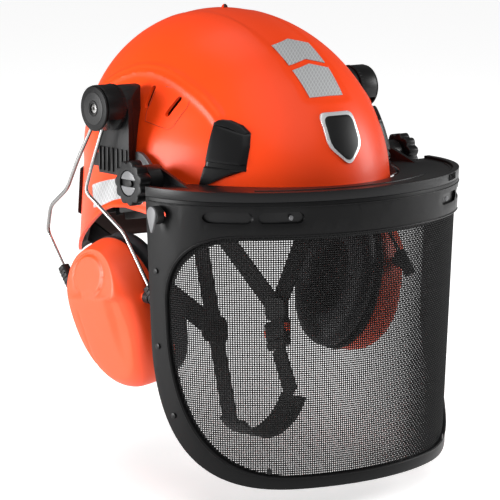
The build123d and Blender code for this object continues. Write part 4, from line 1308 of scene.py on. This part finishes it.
# ------------------------------------------------------------------ ear defenders
@dataclass
class EarDefender:
    """Right ear defender with its column, hub, wires and cup; its mirror image is the left one."""
    hub: Flat = (3.0, 55.0)
    centre: Point = (-109.2, -6.5, -103.4)
    lean: float = 17.0
    slant: float = 7.7
    half_width: float = 46.0
    half_height: float = 61.0
    depth: float = 35.5
    brow: float = 24.0
    squareness: float = 2.25
    tilt: Point = (-128.0, -3.0, -85.5)
    span: float = 57.5
    slide: Point = (0.0, -0.65, -0.76)
    cup_wall: float = 2.3
    pin_radius: float = 3.0
    yoke_wire: float = 1.5
    barrel_radius: float = 3.9

    def cup_point(self, across: np.ndarray, up: np.ndarray, out: np.ndarray) -> np.ndarray:
        """Points given in the cup's own rim plane, across towards the front."""
        lean = radians(self.lean)
        way_out = np.array([-cos(lean), 0, -sin(lean)])
        way_up = np.array([-sin(lean), 0, cos(lean)])
        return (np.array(self.centre) + across[:, None] * np.array([0, -1.0, 0]) + up[:, None] * way_up
                + out[:, None] * way_out)

    def slanted(self, a: np.ndarray, b: np.ndarray) -> tuple[np.ndarray, np.ndarray]:
        """Turns cup-plane places by the cup's slant."""
        turn = radians(self.slant)
        return a * cos(turn) - b * sin(turn), a * sin(turn) + b * cos(turn)

    def build_cup(self) -> None:
        """Builds the cup with its boss, step and panel line."""
        profile = [(0.0, 0.0, 1.0), (0.10, 0.1, 1.0), (0.30, 0.35, 0.985), (0.5, 0.62, 0.955),
                   (0.62, 0.80, 0.90),
                   (0.72, 0.92, 0.82), (0.80, 0.975, 0.72), (0.9, 0.995, 0.42), (1.0, 1.0, 0.0)]
        share, height, size = (np.array(c) for c in zip(*profile))
        fine = smooth_line(list(zip(share, height, size)), 10)

        def place(u: np.ndarray, v: np.ndarray) -> np.ndarray:
            """Wraps the grid over the cup, rows running from the rim to the middle of the face."""
            turn = 2 * pi * u
            out = np.interp(v, fine[:, 0], fine[:, 1]) * self.depth
            scale = np.interp(v, fine[:, 0], fine[:, 2])
            c, s = np.cos(turn), np.sin(turn)
            squircle = (np.abs(c) ** self.squareness
                        + np.abs(s) ** self.squareness) ** (-1 / self.squareness)
            a = self.half_width * 0.985 * scale * c * squircle
            b = self.half_height * 0.985 * scale * s * squircle
            share_out = out / self.depth
            face = ease(share_out, 0.55, 0.95)
            brow = np.clip(b - self.brow, 0, None)
            out = np.minimum(out, self.depth - 0.45 * brow - 1.4
                             * ease(b, self.brow - 0.8, self.brow + 1.4))
            dish = np.sqrt(((a + 2) / 21.0) ** 2 + ((b - self.brow - 15) / 15.5) ** 2)
            out = out - 0.8 * (1 - ease(np.abs(dish - 1) * 18, 0.5, 1.5)) * ease(b, self.brow + 1,
                                                                                 self.brow + 3)
            out = out + 0.9 * (1 - ease(dish, 0.9, 1.0)) * ease(b, self.brow + 1, self.brow + 3)
            shoulder = ease(a - 19 + 0.10 * (self.brow - b), 0, 9)
            out = out - face * 2.6 * shoulder * ease(self.brow - b, 0, 4) * ease(b, -34, 2)
            out = out - face * 1.6 * ease(-b, 2, 60)
            line = np.abs(a - (-25 + 0.10 * (b + 20)))
            out = out - face * 0.5 * (1 - ease(line, 0.4, 1.3)) * ease(-b, -16, -9)
            ta, tb = self.slanted(a, b)
            return self.cup_point(ta, tb, out)

        cup = sheet_piece("cup", 120, 96, place)
        tidy_faces(cup)
        modify(cup, "SOLIDIFY", thickness=self.cup_wall * MM, offset=-1)
        soften(cup, 50)
        pins = []
        for sign in (-1, 1):
            y = self.tilt[1] + sign * 52.3
            start = self.tilt[1] + sign * 39.5
            line = [(self.tilt[0], place_y, self.tilt[2]) for place_y in (start, (start + y) / 2, y)]
            pins.append(rod("cup_pin", line, self.pin_radius, 16))
        settle_pair(join([cup] + pins, "cup"), "cup", "cup", CUP_ORANGE, "orange_plastic", "cup_shell")

        settle_pair(cad_copy("cup_back_plate_right", 0.5), "back_plate", "cup", BLACK_GRAIN,
                    "black_plastic", "cup_back_plate")

        def cushion(u: np.ndarray, v: np.ndarray) -> np.ndarray:
            """Rolls the cushion: u runs round the ear, v round the filled section."""
            turn, roll = 2 * pi * u, 2 * pi * v
            mid_a, mid_b = (self.half_width - 1 + 20) / 2, (self.half_height - 1 + 29) / 2
            wide = np.abs(np.cos(roll)) ** 0.75 * np.sign(np.cos(roll))
            deep = np.abs(np.sin(roll)) ** 0.8 * np.sign(np.sin(roll))
            pucker = 0.25 * np.cos(turn * 46) * (1 - np.abs(np.sin(roll))) ** 2
            a = (mid_a + (12.4 + pucker) * wide) * np.cos(turn)
            b = (mid_b + (15.4 + pucker) * wide) * np.sin(turn)
            seam = 0.7 * np.exp(-((np.sin(roll) - 0.55) / 0.06) ** 2) * (np.cos(roll) > 0)
            ta, tb = self.slanted(a, b)
            return self.cup_point(ta, tb, -11.2 + deep * 8.4 - seam)

        ring = sheet_piece("cushion", 150, 40, cushion)
        tidy_faces(ring)
        soften(ring, 60)
        settle_pair(ring, "cushion", "cup", CUSHION, "cushion_skin", "ear_cushion")

        def foam(u: np.ndarray, v: np.ndarray) -> np.ndarray:
            """Domed foam disc with a flat back."""
            turn = 2 * pi * u
            ring_share = np.clip(np.where(v < 0.5, v * 2, (1 - v) * 2), 0, 1)
            a, b = 38.5 * ring_share * np.cos(turn), 53.5 * ring_share * np.sin(turn)
            ta, tb = self.slanted(a, b)
            level = np.where(v < 0.5, 0.4 + 1.2 * ring_share ** 4, 11.5 - 2 * ring_share ** 4)
            return self.cup_point(ta, tb, level)

        liner = sheet_piece("foam", 64, 24, foam)
        tidy_faces(liner)
        soften(liner, 60)
        settle_pair(liner, "foam", "cup", FOAM, "foam", "foam_liner")

    def wire_lines(self) -> list[np.ndarray]:
        """Centrelines of the two wires of the right yoke."""
        def end(middle: float, distance: float) -> Point:
            """Place on a wire's straight end."""
            return (self.tilt[0], middle + self.slide[1] * distance,
                    self.tilt[2] + self.slide[2] * distance)

        rear, front = self.tilt[1] + self.span, self.tilt[1] - self.span
        routes = ([(-129.5, 16, 41.5), (-132, 34, 12), (-133, 48, -13), (-134, 70, -29), end(rear, -45),
                   end(rear, 12)],
                  [(-129.5, 2.4, 41.5), (-132, 12, 16), (-133, 23, -12), end(front, -60),
                   end(front, 12)])
        lines = []
        for route in routes:
            line, corners = [np.array(route[0], float)], [np.array(p, float) for p in route]
            for before, corner, after in zip(corners[:-2], corners[1:-1], corners[2:]):
                into, out = before - corner, after - corner
                reach = min(6.0, np.linalg.norm(into) * 0.45, np.linalg.norm(out) * 0.45)
                p0 = corner + into / np.linalg.norm(into) * reach
                p2 = corner + out / np.linalg.norm(out) * reach
                for t in np.linspace(0, 1, 8):
                    line.append((1 - t) ** 2 * p0 + 2 * t * (1 - t) * corner + t ** 2 * p2)
            line.append(corners[-1])
            lines.append(np.array(line))
        return lines

    def build_yoke(self) -> None:
        """Builds the steel wires with their barrel and the sliders on their ends."""
        parts = [rod("yoke_wire", line, self.yoke_wire, 16) for line in self.wire_lines()]
        parts.append(rod("yoke_barrel", [(-129.5, y, 41.5) for y in (-0.8, 9, 18.8)],
                         self.barrel_radius, 24))
        settle_pair(join(parts, "yoke"), "yoke", "yoke", STEEL, "steel_wire", "yoke_wires")
        blocks = []
        way = np.array(self.slide)
        side = np.array([0, 0.76, -0.65])
        for sign in (-1, 1):
            middle = np.array(self.tilt) + np.array([0, sign * self.span, 0])
            outline = rounded([(-3.6, -3.8), (3.6, -3.8), (4.2, 3.8), (-4.2, 3.8)], 2.0, 4)
            start = middle - way * 11.0
            block = slab("slider", outline, lambda a, b,
                         o=start: tuple(o + np.array([a, 0, 0]) + side * b), tuple(way * 22.0), 1.2, 3)
            blocks.append(block)
            for k in range(4):
                spot = middle + way * (-7.0 + 3.4 * k) - np.array([4.0, 0, 0])
                blocks.append(rod("slider_rib", [spot - side * 2.8, spot, spot + side * 2.8], 0.55, 6))
            lug = np.array(self.tilt) + np.array([0, sign * 47.9, 0])
            blocks.append(rod("slider_lug", [lug, lug + (0, sign * 3, 0), lug + (0, sign * 6, 0)], 4.9,
                              24))
        settle_pair(join(blocks, "sliders"), "sliders", "sliders", BLACK_GRAIN, "black_plastic",
                    "wire_sliders")

    def build_hub(self) -> None:
        """Builds the ribbed column, the hub with its bevelled cap, and the screw."""
        y0, z0 = self.hub
        column = cad_copy("slot_adapter_right", 1.2, segments=3)
        ribs = []
        for y in (-13, -7, -1, 5, 11, 17, 22):
            ribs.append(slab("column_rib",
                             rounded([(y - 1, 4), (y + 1, 4), (y + 1, 23), (y - 1, 23)], 0.9, 3),
                             lambda a, b: (-118.6, a, b), (-1.7, 0, 0), 0.4))
        ribs.append(slab("column_plate", ring_outline(19, 19, 48, (y0, z0 - 6)), lambda a,
                         b: (-118.4, a, b), (-0.55, 0, 0), 0.25))
        settle_pair(join([column] + ribs, "column"), "column", "helmet", BLACK_GRAIN, "black_plastic",
                    "slot_adapter")
        settle_pair(cad_copy("arm_hub_right", 1.0, segments=3), "hub", "muff_hub", BLACK_SATIN,
                    "black_plastic", "arm_hub")
        settle_pair(cad_copy("hub_cap_right", 1.1, segments=3), "hub_cap", "muff_hub", FRAME_BLACK,
                    "black_plastic", "hub_cap")
        band = []
        for turn in np.linspace(radians(-30), radians(210), 26):
            spot = np.array([0, y0 + 17.7 * cos(turn), z0 + 17.7 * sin(turn)])
            band.append(rod("hub_tooth", [spot + (-120.2, 0, 0), spot + (-121.2, 0, 0),
                                          spot + (-122.4, 0, 0)], 0.7, 6))
        settle_pair(join(band, "hub_teeth"), "hub_teeth", "muff_hub", BLACK_SATIN, "black_plastic")
        disc = slab("cap_face", ring_outline(12.6, 12.6, 48, (y0, z0)), lambda a, b: (-138.3, a, b),
                    (-0.5, 0, 0), 0.2)
        circle = [(-138.75, y0 + 5.6 * cos(t), z0 + 5.6 * sin(t)) for t in np.linspace(0, 2 * pi, 41)]
        face = join([disc, rod("cap_well", circle, 0.7, 8)], "cap_face")
        well = slab("screw_well", ring_outline(4.2, 4.2, 32, (y0, z0)), lambda a, b: (-137, a, b),
                    (-4, 0, 0), 0)
        cut_out(face, well)
        settle_pair(face, "cap_face", "muff_hub", BLACK_GRAIN, "black_plastic")
        screw = slab("hub_screw", ring_outline(3.9, 3.9, 32, (y0, z0)), lambda a, b: (-136.05, a, b),
                     (-2.0, 0, 0), 0.5)
        recess = slab("screw_recess", ring_outline(1.7, 1.7, 6, (y0, z0)), lambda a, b: (-137.0, a, b),
                      (-3, 0, 0), 0)
        cut_out(screw, recess)
        soften(screw, 35)
        settle_pair(screw, "hub_screw", "muff_hub", STEEL, "steel_wire", "hub_screw")

    def build(self) -> None:
        """Builds both ear defenders."""
        self.build_hub()
        self.build_yoke()
        self.build_cup()


# ------------------------------------------------------------------ harness and straps
@dataclass
class Harness:
    """Headband, crown straps, pads, fit wheel and the chin strap."""
    yoke_left: Point = (56.0, 18.0, -128.0)
    yoke_right: Point = (-62.0, -50.0, -119.0)
    ear_left: Point = (94.0, 8.0, -34.0)
    ear_right: Point = (-86.0, -58.0, -30.0)
    nape_left: Point = (62.0, 119.0, -62.0)
    nape_right: Point = (-62.0, 119.0, -62.0)
    chin_right: Point = (-42.0, -44.0, -196.0)
    buckle_top: Point = (49.0, 8.0, -158.0)
    buckle_foot: Point = (36.0, -26.0, -190.0)
    web_half: float = 9.5
    web_thick: float = 1.7
    crown_half: float = 9.6
    crown_thick: float = 1.3
    thread_across: float = 1.25
    thread_along: float = 1.8

    def web(self, name: str, ends: Sequence[Point]) -> bpy.types.Object:
        """Builds a straight length of webbing whose flat side looks sideways.

        Args:
            name: name of the piece.
            ends: middles of its two ends, in millimetres.

        Returns:
            The web with its threads in its UV map.
        """
        line = resample(ends, np.linspace(0, 1, 25))
        along = np.gradient(line, axis=0)
        along /= np.linalg.norm(along, axis=1)[:, None]
        across = np.cross(along, (1.0, 0, 0))
        across /= np.linalg.norm(across, axis=1)[:, None]
        normal = np.cross(across, along)
        width = self.web_half
        rows = len(line) - 1

        def place(u: np.ndarray, v: np.ndarray) -> np.ndarray:
            """Lays the grid along the web, a little crowned between its edges."""
            k = np.rint(v * rows).astype(int)
            crown = (1 - (2 * u - 1) ** 4) * 0.35
            return line[k] + across[k] * ((2 * u - 1) * width)[:, None] + normal[k] * crown[:, None]

        piece = sheet_piece(name, 10, rows, place)
        modify(piece, "SOLIDIFY", thickness=self.web_thick * MM, offset=0)
        round_edges(piece, 0.45, 2, 60)
        length = float(np.linalg.norm(np.diff(line, axis=0), axis=1).sum())
        scale_threads(piece, 2 * width / self.thread_across, length / self.thread_along)
        return piece

    def build_straps(self) -> None:
        """Builds the chin webs, their dividers, the pad and the buckle."""
        for side, ear, nape, divider in (("left", self.ear_left, self.nape_left, self.yoke_left),
                                         ("right", self.ear_right, self.nape_right, self.yoke_right)):
            webs = [self.web(f"web_ear_{side}", [ear, divider]),
                    self.web(f"web_nape_{side}", [nape, divider])]
            settle(join(webs, f"chin_webs_{side}_woven"), "helmet", WEBBING, "webbing",
                   f"chin_webs_{side}")
        for side, ends in (("right", (self.yoke_right, self.chin_right)),
                           ("left", (self.buckle_top, self.buckle_foot))):
            settle(self.web(f"lower_web_{side}_woven", ends), "helmet", WEBBING, "webbing",
                   f"lower_web_{side}")
        settle(cad_copy("web_dividers", 1.2, segments=3), "helmet", BLACK_SATIN, "black_plastic",
               "web_dividers")
        settle(cad_copy("chin_pad", 0.6), "helmet", BLACK_GRAIN, "black_plastic", "chin_pad")
        settle(cad_copy("buckle_socket", 0.8, segments=3), "helmet", BLACK_SATIN, "black_plastic",
               "buckle_socket")
        settle(cad_copy("buckle_plug", 0.6), "helmet", BLACK_SATIN, "black_plastic", "buckle_plug")
        for end in ("front", "rear"):
            settle(cad_copy(f"buckle_button_{end}", 0.7, segments=3), f"button_{end}", CUP_ORANGE,
                   "orange_plastic", f"buckle_button_{end}")

    def build_band(self) -> None:
        """Dresses the headband with its fit wheel, and models its soft pads."""
        for node, bevel in (("headband", 0.5), ("strap_anchors", 0.9), ("fit_housing", 0.6)):
            settle(cad_copy(node, bevel), "helmet", BLACK_GRAIN, "black_plastic", node)
        settle(cad_copy("fit_knob", 0.5), "fit_wheel", BLACK_GRAIN, "black_plastic", "fit_knob")
        settle(cad_copy("fit_pinion", 0), "fit_wheel", BLACK_GRAIN, "black_plastic", "fit_pinion")
        for side in Side:
            settle(cad_copy(f"size_tab_{side.word}", 0.15), f"tab_{side.word}", BLACK_GRAIN,
                   "black_plastic", f"size_tab_{side.word}")
        tilt = radians(10)
        back, up = np.array([0, cos(tilt), -sin(tilt)]), np.array([0, sin(tilt), cos(tilt)])
        centre = np.array([0, 4.0, -22.0])

        def band(x: np.ndarray, y: np.ndarray, z: np.ndarray) -> np.ndarray:
            """Points of the headband's tilted plane."""
            return centre + x[:, None] * np.array([1.0, 0, 0]) + y[:, None] * back + z[:, None] * up

        def brow(u: np.ndarray, v: np.ndarray) -> np.ndarray:
            """Filled pad along the inside of the brow, quilted by stitched channels."""
            turn, roll = -pi * (0.82 * u + 0.09), 2 * pi * v
            quilt = 0.35 * np.cos(u * 2 * pi * 11)
            thick = np.cos(roll) * (1.9 + quilt * (np.cos(roll) < 0))
            reach_x, reach_y = 76.6 + thick, 101.6 + thick
            tall = np.sin(roll)
            return band(reach_x * np.cos(turn), reach_y * np.sin(turn),
                        13.6 * np.sign(tall) * np.abs(tall) ** 0.5)

        def finish_pad(name: str, columns: int, rows: int, place: Callable, node: str) -> None:
            """Wraps, closes and settles one filled pad."""
            pad = sheet_piece(name, columns, rows, place)
            tidy_faces(pad)
            soften(pad, 70)
            settle(pad, "helmet", PADDING, "padding", node)

        finish_pad("brow_pad", 132, 26, brow, "brow_sweatband")

        def pillow(wide: float, long: float, low: float, high: float, square: float) -> Callable:
            """Place function of a crowned pad that lies across z, closed at its rim."""
            def place(u: np.ndarray, v: np.ndarray) -> np.ndarray:
                """Rows run from the middle of one face over the rim to the middle of the other."""
                turn = 2 * pi * u
                share = np.where(v < 0.5, v * 2, (1 - v) * 2)
                c, s = np.cos(turn), np.sin(turn)
                form = (np.abs(c) ** square + np.abs(s) ** square) ** (-1 / square)
                a, b = wide * share * c * form, long * share * s * form
                bulge = np.sqrt(np.clip(1 - share ** 4, 0, 1))
                channel = 0.6 * np.exp(-((share - 0.62) / 0.05) ** 2)
                mid, half = (low + high) / 2, (high - low) / 2
                level = np.where(v < 0.5, mid - half * bulge + channel, mid + half * bulge)
                return np.stack([a, b, level], axis=1)
            return place

        crown = pillow(29.5, 35.5, 71.2, 79.6, 2.0)
        finish_pad("crown_pad_cloth", 72, 40, lambda u, v: band(*crown(u, v).T), "crown_pad")
        nape = pillow(32.5, 18.2, 74.4, 79.9, 5.0)

        def nape_place(u: np.ndarray, v: np.ndarray) -> np.ndarray:
            """Turns the pillow to stand against the housing."""
            flat = nape(u, v)
            return band(flat[:, 0], flat[:, 2], flat[:, 1])

        finish_pad("nape_pad_cloth", 72, 40, nape_place, "nape_pad")

        straps = []
        for turn in (0.0, 50.0, 130.0):
            way = np.array([cos(radians(turn)), 0, 0]) + back * sin(radians(turn))
            reach = 1 / sqrt((cos(radians(turn)) / 84.4) ** 2 + (sin(radians(turn)) / 109.4) ** 2) + 0.7
            spots = [centre - way * reach + up * -9, centre - way * reach + up * 2]
            for a in np.linspace(pi, 0, 25):
                spots.append(centre + way * (reach * cos(a)) + up * (13 + 75.7 * sin(a)))
            spots += [centre + way * reach + up * 2, centre + way * reach + up * -9]
            straps.append(self.strap_along("crown_web", np.array(spots), np.cross(way, up)))
        settle(join(straps, "crown_webs"), "helmet", WEBBING, "webbing", "crown_straps")

    def strap_along(self, name: str, line: np.ndarray, across: np.ndarray) -> bpy.types.Object:
        """Web whose width lies along one fixed direction.

        Args:
            name: name of the piece.
            line: middle line in millimetres.
            across: direction of its width.

        Returns:
            The web.
        """
        rows = len(line) - 1
        across = across / np.linalg.norm(across)

        def place(u: np.ndarray, v: np.ndarray) -> np.ndarray:
            """Lays the grid along the line."""
            k = np.rint(v * rows).astype(int)
            return line[k] + ((2 * u - 1) * self.crown_half)[:, None] * across

        piece = sheet_piece(name, 8, rows, place)
        modify(piece, "SOLIDIFY", thickness=self.crown_thick * MM, offset=0)
        round_edges(piece, 0.35, 2, 60)
        scale_threads(piece, 15.0, 190.0)
        return piece

    def build(self) -> None:
        """Builds the whole assembly."""
        self.build_band()
        self.build_straps()


# ------------------------------------------------------------------ studio
@dataclass
class Studio:
    """Floor, lights and camera."""
    azimuth: float = -38.527
    elevation: float = 9.694
    place: Point = (-1.22808, -1.55886, 0.26943)
    lens: float = 178.85
    sensor: float = 36.0
    floor_z: float = -0.245
    floor_glow: float = 0.46
    world_light: float = 0.12
    sun_power: float = 1.5
    sun_spread: float = 60.0
    sun_place: Point = (-0.25, -0.75, 1.2)

    def build_floor(self) -> None:
        """Adds a wide pale floor under the helmet."""
        clear_selection()
        bpy.ops.mesh.primitive_plane_add(size=300, location=(0, 0, self.floor_z))
        floor = bpy.context.object
        floor.name = "studio_floor"
        material = bpy.data.materials.new("pale_floor")
        material.use_nodes = True
        shader = material.node_tree.nodes["Principled BSDF"]
        shader.inputs["Base Color"].default_value = (0.95, 0.95, 0.95, 1)
        shader.inputs["Roughness"].default_value = 0.9
        shader.inputs["Specular IOR Level"].default_value = 0.1
        shader.inputs["Emission Color"].default_value = (1, 1, 1, 1)
        shader.inputs["Emission Strength"].default_value = self.floor_glow
        floor.data.materials.append(material)

    def area(self, name: str, place: Point, size: float, power: float,
             colour: Point = (1, 1, 1)) -> None:
        """Adds a soft square light aimed at the helmet."""
        data = bpy.data.lights.new(name, "AREA")
        data.size, data.energy, data.color = size, power, colour
        light = bpy.data.objects.new(name, data)
        bpy.context.scene.collection.objects.link(light)
        light.location = place
        light.rotation_euler = (Vector((0, 0, 0)) - Vector(place)).to_track_quat("-Z", "Y").to_euler()

    def build(self) -> None:
        """Builds the studio."""
        self.build_floor()
        world = bpy.data.worlds.new("studio")
        world.use_nodes = True
        world.node_tree.nodes["Background"].inputs["Color"].default_value = (1, 1, 1, 1)
        world.node_tree.nodes["Background"].inputs["Strength"].default_value = self.world_light
        bpy.context.scene.world = world
        sun = bpy.data.lights.new("high_sun", "SUN")
        sun.energy, sun.angle = self.sun_power, radians(self.sun_spread)
        holder = bpy.data.objects.new("high_sun", sun)
        bpy.context.scene.collection.objects.link(holder)
        holder.rotation_euler = (-Vector(self.sun_place)).to_track_quat("-Z", "Y").to_euler()
        self.area("side_box", (-2.05, 0.8, 0.22), 1.0, 66)
        self.area("top_box", (0.1, 0.7, 2.2), 1.1, 7)
        self.area("right_box", (1.9, -0.8, 0.5), 0.8, 24)
        camera = bpy.data.cameras.new("camera")
        camera.lens, camera.sensor_width = self.lens, self.sensor
        camera.clip_start, camera.clip_end = 0.05, 60
        holder = bpy.data.objects.new("camera", camera)
        bpy.context.scene.collection.objects.link(holder)
        az, el = radians(self.azimuth), radians(self.elevation)
        back = Vector((sin(az) * cos(el), -cos(az) * cos(el), sin(el)))
        right = Vector((cos(az), sin(az), 0))
        up = back.cross(right)
        turn = Matrix((right, up, back)).transposed().to_4x4()
        holder.matrix_world = Matrix.Translation(Vector(self.place)) @ turn
        bpy.context.scene.camera = holder
        bpy.context.scene.view_settings.view_transform = "Standard"


def main() -> None:
    """Builds the helmet's looks and the studio."""
    logging.basicConfig(level=logging.INFO, format="%(name)s %(message)s")
    for part in (ShellAssembly(), VisorAssembly(), EarDefender(), Harness(), Studio()):
        LOG.info("building %s", type(part).__name__)
        part.build()


if __name__ == "__main__":
    main()
